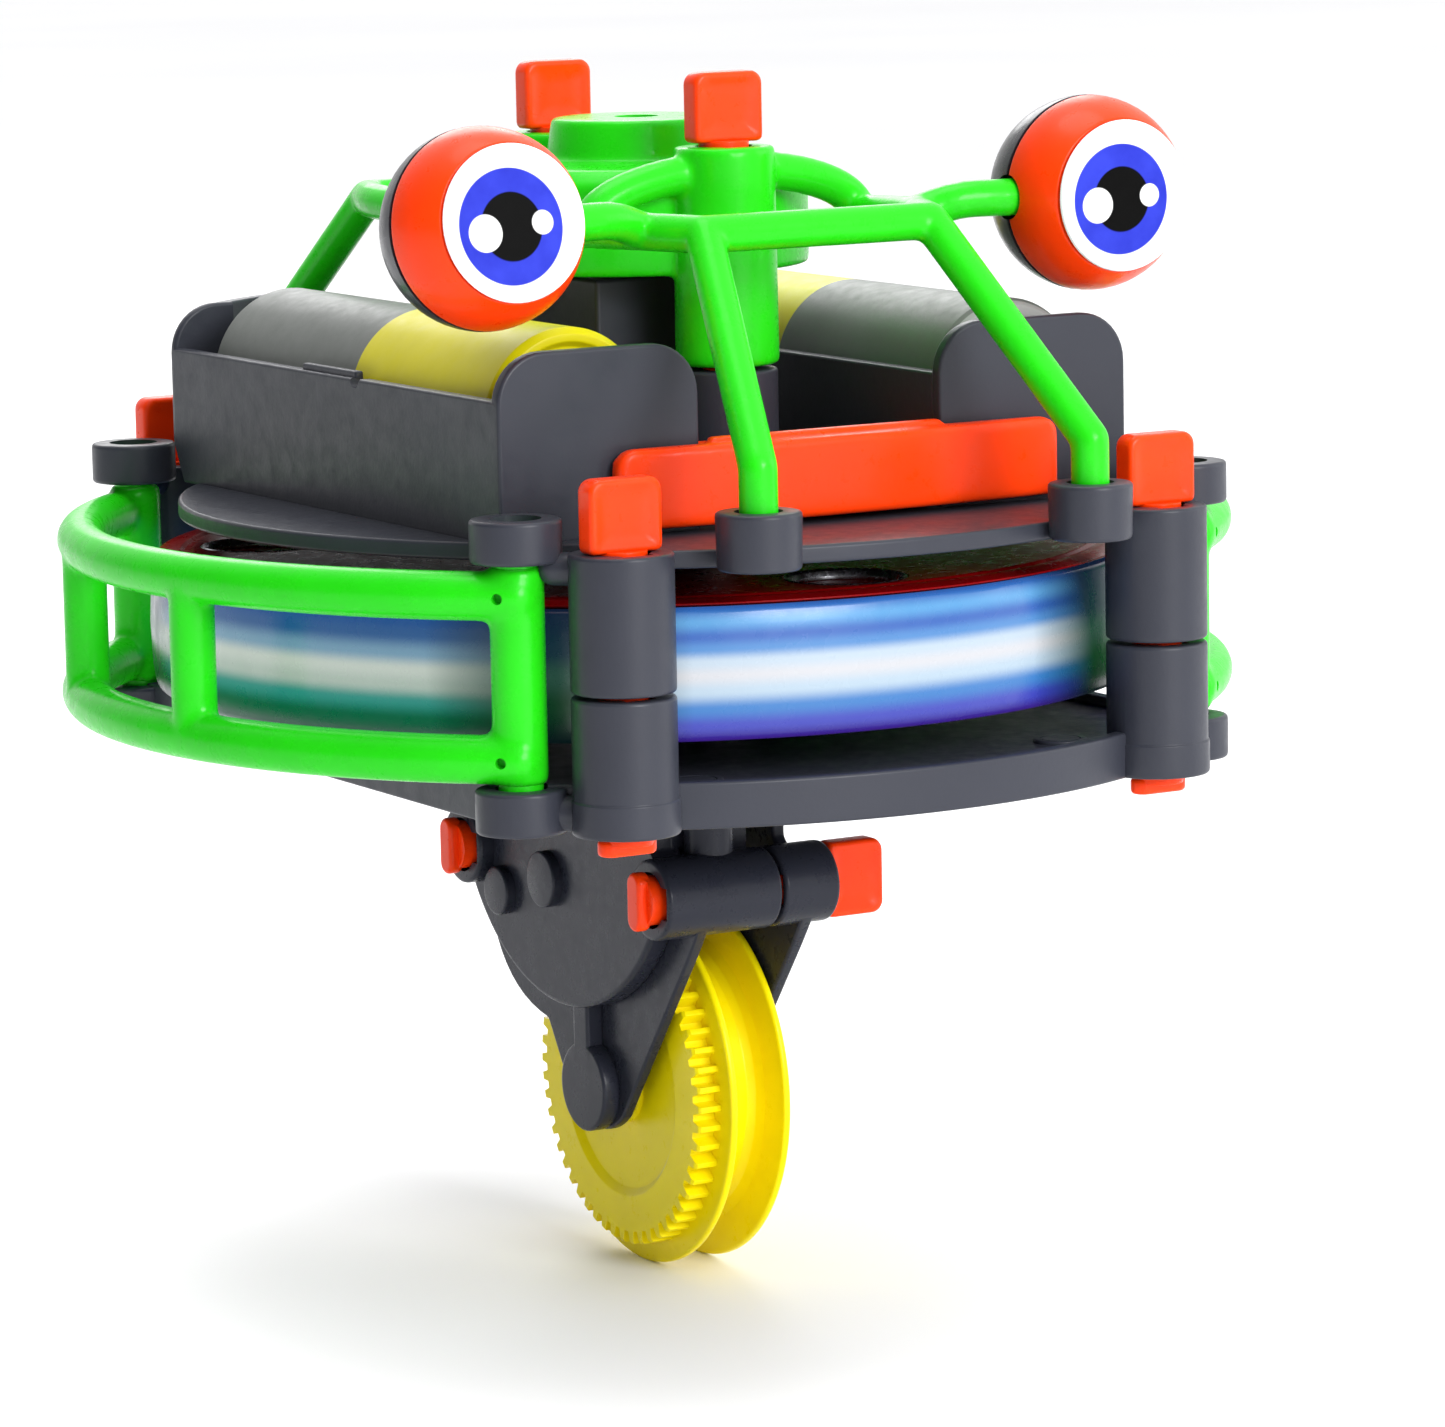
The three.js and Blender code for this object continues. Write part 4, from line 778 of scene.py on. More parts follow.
def upper_deck():
    nose, shelf, half = 43.5, 38.0, 22.0
    a, b = math.acos(half / nose), math.acos(half / shelf)
    outline = arc(shelf, -b, b, 48) + arc(nose, a, math.pi - a, 48)
    outline += arc(shelf, math.pi - b, math.pi + b, 48)
    outline += arc(nose, math.pi + a, 2 * math.pi - a, 48)
    base = slab(softened(outline, 0.5), (UPPER_BOTTOM, UPPER_TOP), "z", 0.3)
    post = rod("z", POST_R, (SEAM_Z + GAP / 2, UPPER_TOP + 0.25), POST, 0.3)
    socket = rod("z", RING_R, (60.0, 63.3), RING, 0.35)
    web = bar([(RING[0] - 2.2, RING[1] + 1.9, 59.5), (POST[0], POST[1], 59.5)], 1.25)
    leg_socket = turned([(0, 59.2), (3.2, 59.2), (3.3, LEG_TOP), (0, LEG_TOP)], at=LEG,
                        soft=0.35)
    corner_parts = join(post, socket, web, leg_socket)
    hub_post = rod("z", POST_R, (UPPER_TOP - 1, HUB_POST_TOP - GAP / 2), (0, HUB_POST_Y), 0.3)
    foot = turned([(0, UPPER_TOP - 0.5), (5.6, UPPER_TOP - 0.5), (5.2, UPPER_TOP + 0.3),
                   (4.0, UPPER_TOP + 2.2), (0, UPPER_TOP + 2.2)], at=(0, HUB_POST_Y), soft=0.3)
    x, y, top, wall = 8.1, 7.3, 78.2, 0.9
    box = cut(block((-x, x), (-y, y), (UPPER_BOTTOM, top), 0.35),
              block((-x + wall, x - wall), (-y + wall, y - wall), (UPPER_BOTTOM + 2.2, top + 1), 0.2),
              hole("z", 3.4, (UPPER_BOTTOM - 1, UPPER_BOTTOM + 4)))
    body = join(base, fourfold(corner_parts), both(join(hub_post, foot), "y"),
                both(battery_tray(), "x"), box)
    holes = fourfold(join(keyway(*POST, (SEAM_Z - 1, UPPER_TOP + 1)),
                          hole("z", 1.85, (60.4, 65), LEG), hole("z", RING_HOLE, (58, 65), RING)))
    hub_holes = both(keyway(0, HUB_POST_Y, (UPPER_BOTTOM - 1, HUB_POST_TOP + 1)), "y")
    return cut(body, holes, hub_holes, hole("z", 2.0, (UPPER_BOTTOM - 1, UPPER_TOP + 2)))


piece("lower_deck_shell", lower_deck(), "lower_deck", "deck_plastic")
piece("upper_deck_shell", upper_deck(), "upper_deck", "deck_plastic")

# ---- side guards ----------------------------------------------------------------------------

GUARD_R, GUARD_TUBE = 46.0, 1.9
GUARD_Z = (45.1, 57.5)


def around(r, degrees, z):
    return (r * math.cos(math.radians(degrees)), r * math.sin(math.radians(degrees)), z)


def right_guard():
    reach = math.degrees(math.atan2(RING[1], RING[0]))
    pile = [bar([around(GUARD_R, reach * (i / 6 - 1), z) for i in range(13)], GUARD_TUBE, 6)
            for z in GUARD_Z]
    pile += [bar([around(GUARD_R, a, GUARD_Z[0]), around(GUARD_R, a, GUARD_Z[1])], 1.8)
             for a in (-11, 18)]
    pile += [rod("z", 2.1, (43.2, 59.7), (RING[0], sign * RING[1])) for sign in (-1, 1)]
    body = fused(piled(*pile), 0.3, 9)
    for sign in (-1, 1):
        at = np.array((RING[0], sign * RING[1]))
        body = join(body, rod("z", RING_HOLE - GAP, (40.3, 62.4), at, 0.3))
        facing = math.atan2(at[1], at[0]) - sign * 0.02
        outward = np.array((math.cos(facing), math.sin(facing)))
        along = sign * np.array((math.sin(facing), -math.cos(facing)))
        mark = at + 1.45 * outward + 0.9 * along
        for z in GUARD_Z:
            # a small round mark where each rail meets the post
            dimple = turned_by(hole("x", 0.42, (0, 2.2)), math.degrees(facing), "Z")
            body = cut(body, moved(dimple, (*mark, z)))
    return body


guard = right_guard()
other_guard = mirrored(guard, "x")
piece("right_guard_rail", guard, "right_guard", "green_plastic", crease=50)
piece("left_guard_rail", other_guard, "left_guard", "green_plastic", crease=50)

# ---- head frame -----------------------------------------------------------------------------

ARM_Z, ARM_R = 83.1, 1.5
ARM_NODE = (10.2, -28.3, ARM_Z)
ARM_ELBOW = (12.2, -22.4, ARM_Z)
ARM_ROOT = (12.3, -13.4, ARM_Z - 0.3)
KNEE_Z = 66.9
HUB_R, HUB_Z, TUBE_TOP = 13.8, (78.6, 87.0), 88.8
CROWN_R, CROWN_Z = 6.9, 90.6
HUB_SCREW = {"seat_r": 1.8, "sunk": 0.9, "hole_r": 0.8}
EYE = {"x": 27.4, "y": -24.6, "z": 84.25, "r": 7.8, "flat": 4.85}
LEFT_TILT = 8


def head_frame():
    bottom, shoulder = HUB_Z
    shell = turned([
        (12.5, bottom), (HUB_R, bottom), (HUB_R, shoulder - 1.2), (HUB_R - 1.2, shoulder),
        (CROWN_R + 0.5, shoulder + 0.3), (CROWN_R, CROWN_Z), (HUB_SCREW["hole_r"], CROWN_Z),
        (HUB_SCREW["hole_r"], CROWN_Z - 2), (5.5, CROWN_Z - 2), (5.5, shoulder - 1.4),
        (12.5, shoulder - 1.4)], soft=0.3, steps=96)
    knee = (LEG[0], -LEG[1], KNEE_Z)
    rise = TUBE_TOP - 1.9 - ARM_ROOT[2]
    rib = [(ARM_ROOT[0] * math.sin(t), -HUB_POST_Y, ARM_ROOT[2] + rise * math.cos(t))
           for t in np.linspace(0, math.pi / 2, 7)]
    quarter = piled(
        bar([(0, ARM_NODE[1], ARM_Z), ARM_NODE], ARM_R), bar([ARM_NODE, ARM_ELBOW, ARM_ROOT], ARM_R),
        bar(rib, ARM_R), bar([ARM_NODE, knee], ARM_R), bar([knee, (knee[0], knee[1], 60.8)], ARM_R))
    inner = EYE["x"] - EYE["r"]
    eye_arm = bar([ARM_ELBOW, (15.6, -23.9, EYE["z"] - 0.1), (inner - 0.3, EYE["y"], EYE["z"]),
                   (inner + 2.4, EYE["y"], EYE["z"])], ARM_R)
    tube = turned([(0, HUB_POST_TOP + GAP / 2), (POST_R + 0.15, HUB_POST_TOP + GAP / 2),
                   (POST_R + 0.05, TUBE_TOP), (0, TUBE_TOP)], at=(0, HUB_POST_Y), soft=0.35)
    half = piled(quarter, mirrored(quarter, "x"))
    pile = piled(half, mirrored(half, "y"), eye_arm, mirrored(eye_arm, "x"), tube,
                 mirrored(tube, "y"), shell)
    body = fused(pile, 0.28, 8)
    holes = both(keyway(0, HUB_POST_Y, (HUB_POST_TOP - 1, TUBE_TOP + 1)), "y")
    seat = hole("z", HUB_SCREW["seat_r"], (CROWN_Z - HUB_SCREW["sunk"], CROWN_Z + 1))
    return cut(body, holes, seat, hole("z", HUB_SCREW["hole_r"], (CROWN_Z - 3, CROWN_Z)),
               hole("z", 7.3, (bottom - 1, 86.5)))


piece("head_frame_shell", head_frame(), "head_frame", "green_plastic", crease=50)

# ---- eyes -----------------------------------------------------------------------------------


def eye_parts(side):
    r, flat = EYE["r"], EYE["flat"]
    sign = -1 if side == "left" else 1
    tilt = LEFT_TILT if side == "left" else 0

    def place(me):
        return moved(turned_by(me, -tilt, "X"), (sign * EYE["x"], EYE["y"], EYE["z"]))

    def globe(start, end, radius, count=22):
        return [(radius * math.sin(t), -radius * math.cos(t)) for t in np.linspace(start, end, count)]

    edge = math.acos(flat / r)
    front = globe(edge, math.pi / 2 - 0.022, r)
    front = [(0, -flat)] + front + [(r - 1.2, -0.17)] + globe(math.pi / 2, 0.75, r - 1.2, 14)
    front = front + [(0, -flat + 1.3)]
    back = [(r - 1.2, 0.17), (r, 0.17)] + globe(math.pi / 2 + 0.03, math.pi, r)
    back[-1] = (0, r)
    back = back + [(0, r - 1.2)] + globe(math.pi, math.pi / 2 + 0.03, r - 1.2, 14)[1:]
    arm_hole = hole("x", ARM_R + GAP, sorted((-sign * 0.5, -sign * 9)))
    shells = [cut(turned(front, "y", soft=0.22), arm_hole), cut(bowl(back), arm_hole)]
    face_r = math.sqrt(r * r - flat * flat) - 0.05
    face = turned([(0, -flat - 0.62), (face_r - 0.15, -flat - 0.56), (face_r, -flat - 0.3),
                   (0, -flat - 0.3)], "y", soft=0.1)
    return [place(me) for me in (*shells, face)]


def bowl(profile):
    """A shell whose profile runs from its rim over the pole and back inside."""
    pole = next(i for i, p in enumerate(profile) if p[0] == 0)
    outer, inner = profile[:pole + 1], profile[pole + 1:]
    return turned([(0, inner[0][1])] + inner[1:] + outer, "y", soft=0.12)


for side in ("left", "right"):
    shell, rear, face = eye_parts(side)
    piece(f"{side}_eye_shell", shell, f"{side}_eye_front", "orange_plastic")
    piece(f"{side}_eye_rear", rear, f"{side}_eye_back", "deck_plastic", MATERIALS["eye_back"])
    piece(f"{side}_eye_decal", face, f"{side}_eye_face", "eye_white", eye_print(side))

# ---- pins -----------------------------------------------------------------------------------


def quarter_pin(length, high=5.6):
    """A rounded grip on a shank that ends in a cross bar; it stands on z = 0."""
    half = 3.1
    outline = [(-half, 0), (half, 0)] + arc(1.0, 0, math.pi / 2, 6, (half - 1.0, high - 1.0))
    outline += arc(1.0, math.pi / 2, math.pi, 6, (-half + 1.0, high - 1.0))
    outline = np.array(softened(outline, 0.5))
    centre = np.array((0, high * 0.5))
    # (share of the outline, depth under the broad face), from the hollowed middle to the edge
    path = [(0.3, 0.3), (0.55, 0.27), (0.72, 0.14), (0.82, 0.02), (0.88, 0.0), (0.94, 0.05),
            (0.98, 0.2), (1.0, 0.45)]
    path = [(share, depth - 1.1) for share, depth in path]
    path += [(share, -y) for share, y in reversed(path)]
    head = stacked([centre + (outline - centre) * share for share, _ in path],
                   [y for _, y in path], "y")
    moved(head, (0, 0, GAP))
    shank = rod("z", 2.0, (-length - GAP - 0.5, GAP + 0.15), soft=0.1)
    end_bar = slab(arc(1.0, -math.pi / 2, math.pi / 2, 10, (1.4, 0))
                   + arc(1.0, math.pi / 2, 1.5 * math.pi, 10, (-1.4, 0)),
                   (-length - GAP - 1.3, -length - GAP), "z", 0.35)
    return join(head, shank, end_bar)


def pins():
    deck = quarter_pin(UPPER_TOP - DECK_LOW)
    for sy, end in ((-1, "front"), (1, "back")):
        for sx, word in ((-1, "left"), (1, "right")):
            at = (sx * POST[0], sy * POST[1], UPPER_TOP)
            piece(f"deck_pin_{end}_{word}_grip", moved(deck.copy(), at),
                  f"deck_pin_{end}_{word}", "orange_plastic")
    hub = quarter_pin(TUBE_TOP - UPPER_BOTTOM)
    across = quarter_pin(TUBE_X[1] - TUBE_X[0], 5.1)
    turned_by(across, 90, "Y")
    for sign, end, y in zip((-1, 1), ("front", "back"), TUBES_Y):
        piece(f"hub_pin_{end}_grip", moved(hub.copy(), (0, sign * HUB_POST_Y, TUBE_TOP)),
              f"hub_pin_{end}", "orange_plastic")
        piece(f"gearbox_pin_{end}_grip", moved(across.copy(), (TUBE_X[1], y, TUBE_Z)),
              f"gearbox_pin_{end}", "orange_plastic")


pins()

# ---- cells and contacts ---------------------------------------------------------------------


def battery(side):
    """A cell with crimped ends and a raised cap, which is in front on the left."""
    x_span, (y0, y1), z_span = box_mm(f"{side}_battery")
    r = (z_span[1] - z_span[0]) / 2
    crimp, sleeve_end, cap_end = 0.25, 48.1, 50.0
    body = [(0, 0), (r - 1.6, 0), (r - 1.3, -crimp), (r - 0.5, -0.2), (r, 0.5), (r, sleeve_end),
            (r - 0.5, sleeve_end + 0.6), (r - 1.1, sleeve_end + 0.6), (r - 1.5, sleeve_end + 0.1),
            (2.9, sleeve_end + 0.1), (2.7, cap_end), (0, cap_end)]
    stretch = (y1 - y0) / (cap_end + crimp)
    me = turned([(a, (b + crimp) * stretch) for a, b in body], "y", soft=0.25, steps=80)
    if side == "left":
        return moved(mirrored(me, "y"), (middle(x_span), y1, middle(z_span)))
    return moved(me, (middle(x_span), y0, middle(z_span)))


for side in ("left", "right"):
    piece(f"{side}_cell", battery(side), f"{side}_battery", "cell_sleeve", sleeve(side))

# ---- switch slider --------------------------------------------------------------------------


def switch_slider():
    half, front, bow, back, corner = 20.0, -31.4, 1.9, -28.6, 1.1
    bottom, top, end_r = 60.95, 67.2, 1.7
    bend = front + bow - corner * 0.6
    outline = [(-half, back), (-half, front + bow)]
    outline += bezier(outline[-1], (-half, front + bow - corner * 0.5), (-half + corner, bend), 5)
    outline += bezier(outline[-1], (0, front - bow * 0.55), (half - corner, bend), 40)
    outline += bezier(outline[-1], (half, front + bow - corner * 0.5), (half, front + bow), 5)
    outline += [(half, back)]
    ends = moved(tray_panel(half, top - bottom, end_r, (front - 1, back + 1)), (0, 0, bottom))
    crown = combine(slab(outline, (bottom, top), "z", 0.55), ends, "INTERSECT")
    ledge = block((-11.6, 9.2), (back - 1.2, back), (top - 1, 67.65), 0.15)
    tongue = block((-8.6, 8.6), (back - 0.4, -19.2), (bottom, 66.2), 0.3)
    body = fused(piled(crown, ledge, tongue), 0.22, 6)
    pocket = block((-6.9, 6.9), (-24.9, -20.1), (bottom - 1, 64.9), 0)
    return moved(cut(body, pocket), (1.0, 0, 0))


piece("switch_slider_grip", switch_slider(), "switch_slider", "orange_plastic", crease=50)

# ---- flywheel -------------------------------------------------------------------------------

WHEEL_R = 40.4
FLY_LOW, FLY_HIGH = 45.6, 56.2
SCREWS = [around(27, a, 0)[:2] for a in (0, 120, 240)]
RECESSES = [around(31.5, a, 0)[:2] for a in range(30, 390, 60)]


def flywheel_base():
    z = FLY_LOW
    tray = turned([
        (0, z - 1.6), (3.8, z - 1.6), (4.2, z), (28.0, z), (28.4, z + 0.3), (29.4, z + 0.3),
        (29.8, z), (WHEEL_R - 2.6, z), (WHEEL_R - 2.2, z + 0.4), (WHEEL_R - 2.2, z + 1.4),
        (0, z + 1.4)], soft=0.2, steps=128)
    hub = rod("z", 4.2, (z, z + 8.9))
    bosses = [rod("z", 1.9, (z + 1, z + 8.9), at) for at in SCREWS]
    bores = [hole("z", 1.0, (z + 3, z + 10), at, 24) for at in SCREWS]
    return cut(join(tray, hub, *bosses), *bores, hole("z", 1.3, (z - 3, z + 10)))


def flywheel_band():
    low, high = box_mm("flywheel_band")[2]
    r = WHEEL_R
    return turned([(r - 1.9, low), (r - 0.3, low), (r, low + 1.6), (r + 0.15, middle((low, high))),
                   (r, high - 1.6), (r - 0.3, high), (r - 1.9, high)], soft=0.5, steps=144)


def flywheel_cap():
    z = FLY_HIGH
    lid = turned([
        (4.0, z - 1.7), (WHEEL_R - 2.2, z - 1.7), (WHEEL_R - 2.2, z - 0.35),
        (WHEEL_R - 0.5, z - 0.35), (WHEEL_R - 0.5, z - 0.2), (WHEEL_R - 1.6, z),
        (38.0, z), (37.7, z - 0.25), (37.2, z - 0.25), (36.9, z), (12.0, z), (11.7, z - 0.3),
        (11.2, z - 0.3), (10.9, z), (4.0, z)], soft=0.2, steps=144)
    tools = [hole("z", 5.0, (z - 0.8, z + 1), at) for at in RECESSES]
    for at in SCREWS:
        tools += [hole("z", 2.2, (z - 0.9, z + 1), at), hole("z", 1.2, (z - 3, z + 1), at, 24)]
    return cut(lid, *tools)


def recess_rings():
    """Bright rims set in the cap's round recesses."""
    z = FLY_HIGH
    return piled(*[turned([(4.35, z - 0.78), (4.95, z - 0.78), (4.95, z - 0.1), (4.75, z + 0.08),
                           (4.5, z - 0.1), (4.35, z - 0.5)], at=at, soft=0.08) for at in RECESSES])


def screw(at, z, head_r, head_high, shank_r, shank_end, domed=0.25):
    """A pan-head screw with a cross recess; z is the face under its head."""
    head = turned([(0, z), (head_r, z), (head_r, z + head_high - domed),
                   (head_r * 0.55, z + head_high), (0, z + head_high)], at=at, soft=0.15, steps=40)
    thread = [(shank_r, z + 0.05)]
    pitch = 0.6
    for k in range(int((z - shank_end) / pitch)):
        top = z - 0.3 - k * pitch
        thread += [(shank_r * 0.8, top - pitch * 0.45), (shank_r, top - pitch * 0.75)]
    profile = [(0, z + 0.05)] + thread + [(shank_r * 0.4, shank_end + 0.05), (0, shank_end)]
    shank = turned(profile, at=at, soft=0, steps=24)
    top = z + head_high
    long, thin = head_r * 0.62, 0.22
    recess = [block((at[0] - a, at[0] + a), (at[1] - b, at[1] + b),
                    (top - head_high * 0.6, top + 1), 0) for a, b in ((long, thin), (thin, long))]
    return cut(join(head, shank), *recess)


piece("flywheel_tray", flywheel_base(), "flywheel_base", "black_plastic")
piece("flywheel_light_ring", flywheel_band(), "flywheel_band", "light_band")
piece("flywheel_lid", flywheel_cap(), "flywheel_cap", "cap_plastic")
piece("flywheel_lid_rims", recess_rings(), None, "steel", body="flywheel")
for i, at in enumerate(SCREWS):
    piece(f"flywheel_screw_{i + 1}_head", screw(at, FLY_HIGH - 0.6, 1.8, 0.85, 0.7, FLY_HIGH - 6),
          f"flywheel_screw_{i + 1}", "steel")

piece("hub_screw_head", screw((0, 0), CROWN_Z - HUB_SCREW["sunk"], HUB_SCREW["seat_r"] - 0.15, 0.7,
                              HUB_SCREW["hole_r"] - 0.1, CROWN_Z - 1.8), "hub_screw", "steel")

# ---- drive wheel and gearbox ----------------------------------------------------------------

GROOVE_X, GROOVE_R, FLANGE_R, AXLE_Z = 1.2, 11.0, 15.2, 11.0
MODULE = 0.5
WHEEL_TEETH = 52
GEAR_FACE = -3.6


def degrees_to(a, b):
    return math.degrees(math.atan2(b[1] - a[1], b[0] - a[0]))


gear_low, gear_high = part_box("reduction_gear")
REDUCTION = (middle((gear_low.y, gear_high.y)) / MM, middle((gear_low.z, gear_high.z)) / MM)


def gear_outline(teeth, turn, share=0.4):
    """Teeth with rounded tips; turn is in tooth pitches."""
    pitch_r = MODULE * teeth / 2
    tip, root = pitch_r + 0.9 * MODULE, pitch_r - 1.25 * MODULE
    points = []
    for i in range(teeth):
        for r, part in ((root, -0.62), (tip, -0.3), (tip, 0.3), (root, 0.62)):
            a = (i + part * share * 1.25 + turn) * 2 * math.pi / teeth
            points.append((r * math.cos(a), r * math.sin(a)))
    return softened(points, 0.08, parts=2)


def drive_wheel():
    g, face = GROOVE_X, GEAR_FACE
    left, right = g - 2.8, g + 2.8
    rim = turned([
        (3.2, left), (FLANGE_R, left), (FLANGE_R, left + 0.65),
        (GROOVE_R + 1.2, g - 2.08), (GROOVE_R + 0.35, g - 1.75), (GROOVE_R, g - 1.1),
        (GROOVE_R, g + 1.1), (GROOVE_R + 0.35, g + 1.75), (GROOVE_R + 1.2, g + 2.08),
        (FLANGE_R, right - 0.65),
        (FLANGE_R, right), (10.0, right), (9.4, right - 1.6), (3.2, right - 1.6)], "x",
        soft=0.28, steps=144)
    hub = rod("x", 3.3, (face, right), soft=0.25)
    turn = degrees_to((0, AXLE_Z), REDUCTION) / (360 / WHEEL_TEETH) + 0.5
    # the gear's blank has a shallow dish in its face and rounded tooth tips
    blank = turned([(0, face + 0.5), (8.8, face + 0.5), (9.4, face), (13.2, face),
                    (13.6, face + 0.3), (13.6, left + 0.1), (0, left + 0.1)],
                   "x", soft=0.25, steps=144)
    teeth = combine(slab(gear_outline(WHEEL_TEETH, turn), (face - 1, left + 1), "x", 0), blank,
                    "INTERSECT")
    ribs = [turned_by(block((right - 1.7, right - 0.5), (3, 9.7), (-0.5, 0.5), 0.15), a, "X")
            for a in range(0, 360, 60)]
    wheel = cut(join(rim, hub, teeth, *ribs), hole("x", 1.25, (-9, 9)))
    return moved(wheel, (0, 0, AXLE_Z))


piece("drive_wheel_body", drive_wheel(), "drive_wheel", "yellow_plastic")

SEAM_X = 1.9
COVER_X, BULGE_X = -5.3, -7.2
BELLY = (2.8, 35.9, 18.4)            # y, z and radius of the bulge over the gears
CROWN_GEAR = (0, 33.5)


def gearbox_outline():
    points = [(-12.4, 39.2), (-12.4, 32.6), (-17.6, 27.6), (-15.2, 24.2), (-3.6, 8.9)]
    points += bezier(points[-1], (-0.6, 6.3), (3.0, 8.0), 10)
    points += bezier(points[-1], (5.6, 8.9), (6.6, 11.6), 6)
    points += [(8.9, 15.2)]
    points += bezier(points[-1], (18.2, 16.6), (19.4, 26.2), 12)
    points += [(19.4, 39.2)]
    return softened(points, 0.6)


def tubes(x):
    return join(*[rod("x", TUBE_R, x, (y, TUBE_Z), 0.35) for y in TUBES_Y])


def tube_keyways():
    return [keyway(y, TUBE_Z, (TUBE_X[0] - 1, TUBE_X[1] + 1), "x") for y in TUBES_Y]


def gearbox_cover():
    outline = gearbox_outline()
    inner = COVER_X + 1.0
    raised = join(
        rod("x", BELLY[2], (BULGE_X, COVER_X + 0.1), BELLY[:2], 0.45, 128),
        rod("x", 2.35, (BULGE_X - 0.9, COVER_X + 0.1), (4.6, 27.9), 0.2),
        rod("x", 2.05, (BULGE_X - 0.9, COVER_X + 0.1), (12.5, 25.8), 0.2),
        block((COVER_X - 1.5, COVER_X + 0.1), (-0.6, 1.8), (AXLE_Z, 19), 0.3))
    raised = combine(raised, slab(outline, (COVER_X - 4, 0), "x", 0), "INTERSECT")
    parts = [
        slab(outline, (COVER_X, inner), "x", 0.25), raised,
        rod("x", 3.7, (COVER_X - 1.5, COVER_X + 0.1), (0.4, AXLE_Z), 0.3),
        rod("x", 2.6, (inner - 0.1, GEAR_FACE - GAP), (0, AXLE_Z)),
        block((COVER_X, SEAM_X), (-12.4, 19.4), (37.9, 39.2)),
        block((COVER_X, SEAM_X), (18.1, 19.4), (TUBE_Z, 39.2)),
        block((COVER_X, SEAM_X), (-12.4, -11.2), (TUBE_Z + 1.4, 39.2)),
        tubes((TUBE_X[0], SEAM_X))]
    parts += [rod("z", 2.0, (31.6, 39.2), at) for at in GEARBOX_SCREWS]
    tools = tube_keyways()
    tools += [hole("z", 1.15, (32.4, 41), at, 32) for at in GEARBOX_SCREWS]
    tools += [hole("x", r, span, at) for r, span, at in (
        (7.7, (-6.5, inner + 0.1), REDUCTION), (2.85, (-6.6, inner + 0.1), CROWN_GEAR),
        (6.0, (-4.6, 0), CROWN_GEAR), (1.3, (COVER_X - 1.0, 9), (0, AXLE_Z)),
        (1.05, (BULGE_X + 0.35, 0), REDUCTION), (1.05, (BULGE_X + 0.35, 0), CROWN_GEAR))]
    return cut(join(*parts), *tools, hole("z", 2.9, (36, 41)))


def gearbox_plate():
    x = (4.35, 5.5)
    seam = SEAM_X + GAP
    body = join(slab(gearbox_outline(), x, "x", 0.3),
                block((seam, x[0] + 0.1), (-12.4, 19.4), (37.9, 39.2)),
                rod("x", 3.4, (x[1] - 0.1, x[1] + 0.9), (0.4, AXLE_Z), 0.3),
                tubes((seam, TUBE_X[1])))
    return cut(body, *tube_keyways(), hole("z", 2.9, (36, 41)),
               hole("x", 1.3, (0, x[1] + 0.4), (0, AXLE_Z)))


# a darker copy of the deck's slate plastic: painted shade for the gearbox, which hangs under the deck
# on the dim left side
gearbox_shaded_slate = plastic("gearbox_shaded_slate_plastic", (40, 42, 52), 0.3, 0.0, 0.05, 0.07, shine=0.2)
piece("gearbox_cover_shell", gearbox_cover(), "gearbox_cover", "deck_plastic", gearbox_shaded_slate)
piece("gearbox_plate_shell", gearbox_plate(), "gearbox_plate", "deck_plastic", gearbox_shaded_slate)
for i, at in enumerate(GEARBOX_SCREWS):
    piece(f"gearbox_screw_{i + 1}_head", screw(at, 42.6, 1.9, 1.2, 0.85, 33.4, 0.4),
          f"gearbox_screw_{i + 1}", "steel")

# ---- carried-over CAD nodes get their finished materials ------------------------------------

SLOT_OF = {
    "steel": ["left_contact_spring", "right_contact_spring", "slide_switch", "weight_ring",
              "button_cell_1", "button_cell_2", "flywheel_shaft", "crown_gear_pin",
              "reduction_gear_pin", "wheel_axle", "motor_can"],
    "brass": ["left_contact_plate", "right_contact_plate", "drive_pinion", "shaft_bearing",
              "motor_rotor"],
    "black_plastic": ["switch_knob", "motor_end_cap", "motor_magnet_left", "motor_magnet_right"],
    "gear_plastic": ["crown_gear", "reduction_gear"],
    "circuit_board": ["light_board"],
    "led_lens": ["led_1", "led_2", "led_3"],
}
for slot, names in SLOT_OF.items():
    for name in names:
        node = frame["nodes"][name]
        node.data.materials.clear()
        node.data.materials.append(MATERIALS[slot])

# ---- stage ----------------------------------------------------------------------------------


def stage_floor(z):
    """A wide, flat, pale floor."""
    n = Nodes("pale_floor")
    tone = n.remap(n.noise(3, 3), 0.3, 0.7, 0, 1)
    n.link(n.blend(tone, linear((244, 244, 246)), linear((250, 250, 251))),
           n.shader.inputs["Base Color"])
    n.link(n.remap(n.noise(12, 3), 0.3, 0.7, 0.55, 0.7), n.shader.inputs["Roughness"])
    reach = 6.0
    me = bpy.data.meshes.new("floor")
    me.from_pydata([(-reach, -reach, z), (reach, -reach, z), (reach, reach, z), (-reach, reach, z)],
                   [], [(0, 1, 2, 3)])
    me.materials.append(n.material)
    ob = bpy.data.objects.new("floor", me)
    bpy.context.scene.collection.objects.link(ob)


def area_light(name, at, target, size, power):
    data = bpy.data.lights.new(name, "AREA")
    data.shape = "DISK"
    data.size = size
    data.energy = power
    ob = bpy.data.objects.new(name, data)
    ob.location = at
    ob.rotation_mode = "QUATERNION"
    ob.rotation_quaternion = (Vector(target) - Vector(at)).to_track_quat("-Z", "Y")
    bpy.context.scene.collection.objects.link(ob)


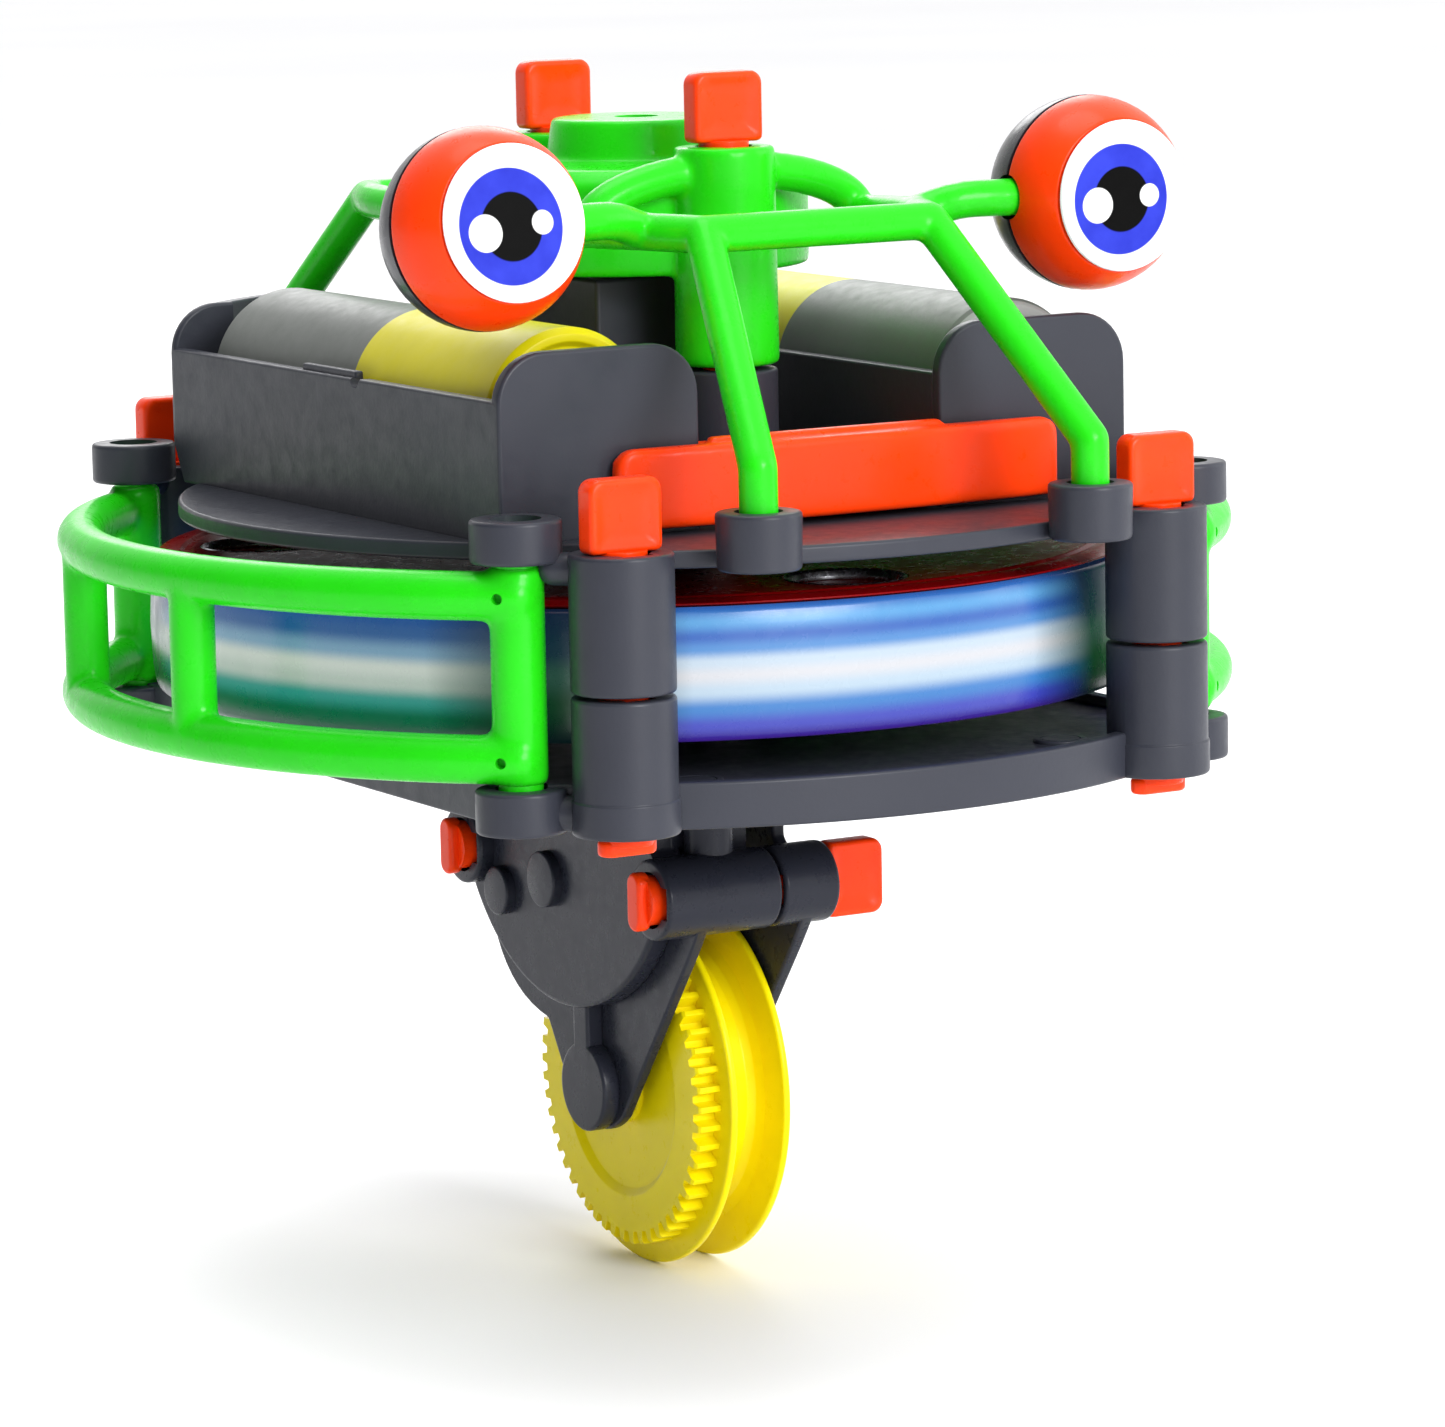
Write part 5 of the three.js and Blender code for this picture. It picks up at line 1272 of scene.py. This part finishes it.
def studio_sky(world):
    """White all round, brighter overhead and dim on the robot's left, which shapes the dark decks."""
    n = SkyNodes(world)
    x, _, z = n.split()
    sideways = n.remap(x, -0.85, 0.05, 0.12, 1.0, "SMOOTHSTEP")
    upwards = n.remap(z, 0.2, 0.8, 1.0, 1.45, "SMOOTHSTEP")
    n.set("color", (1, 1, 1, 1))
    n.link(n.math("MULTIPLY", sideways, upwards), n.shader.inputs["Strength"])


stage_floor(cad_low.z)
middle_point = (cad_low + cad_high) / 2
area_light("key", (0.1, -1.0, 0.42), middle_point, 0.5, 8.5)
area_light("fill", (0.85, -0.35, 0.3), middle_point, 0.6, 1.5)
area_light("top", (0.0, 0.1, 0.95), middle_point, 0.6, 2.5)
area_light("rear", (0.35, 0.8, 0.5), middle_point, 0.5, 2.0)

world = bpy.data.worlds.new("studio")
studio_sky(world)
bpy.context.scene.world = world
bpy.context.scene.view_settings.view_transform = "Standard"

# ---- camera ---------------------------------------------------------------------------------

CAMERA = {"azimuth": -29.32, "elevation": 10.285, "roll": -1.189, "distance": 0.5141,
          "aim": (0.0, 0.0, 0.0271), "lens": 155.0, "sensor": 36.0}
AIM_OFFSET = (0.01128, 0.02786)      # tangents from the aim to the middle of the picture


def make_camera():
    az, el, roll = (math.radians(CAMERA[k]) for k in ("azimuth", "elevation", "roll"))
    back = Vector((math.sin(az) * math.cos(el), -math.cos(az) * math.cos(el), math.sin(el)))
    level = Vector((math.cos(az), math.sin(az), 0))
    up = back.cross(level)
    right = level * math.cos(roll) + up * math.sin(roll)
    up = -level * math.sin(roll) + up * math.cos(roll)
    place = Vector(CAMERA["aim"]) + Vector((AXIS_X, 0, 0)) + back * CAMERA["distance"]
    look = (right * AIM_OFFSET[0] + up * AIM_OFFSET[1] - back).normalized()
    back = -look
    right = (right - back * right.dot(back)).normalized()
    up = back.cross(right)
    data = bpy.data.cameras.new("camera")
    data.lens, data.sensor_width = CAMERA["lens"], CAMERA["sensor"]
    data.clip_start, data.clip_end = 0.01, 50
    ob = bpy.data.objects.new("camera", data)
    matrix = Matrix((right, up, back)).transposed().to_4x4()
    matrix.translation = place
    ob.matrix_world = matrix
    bpy.context.scene.collection.objects.link(ob)
    bpy.context.scene.camera = ob


make_camera()
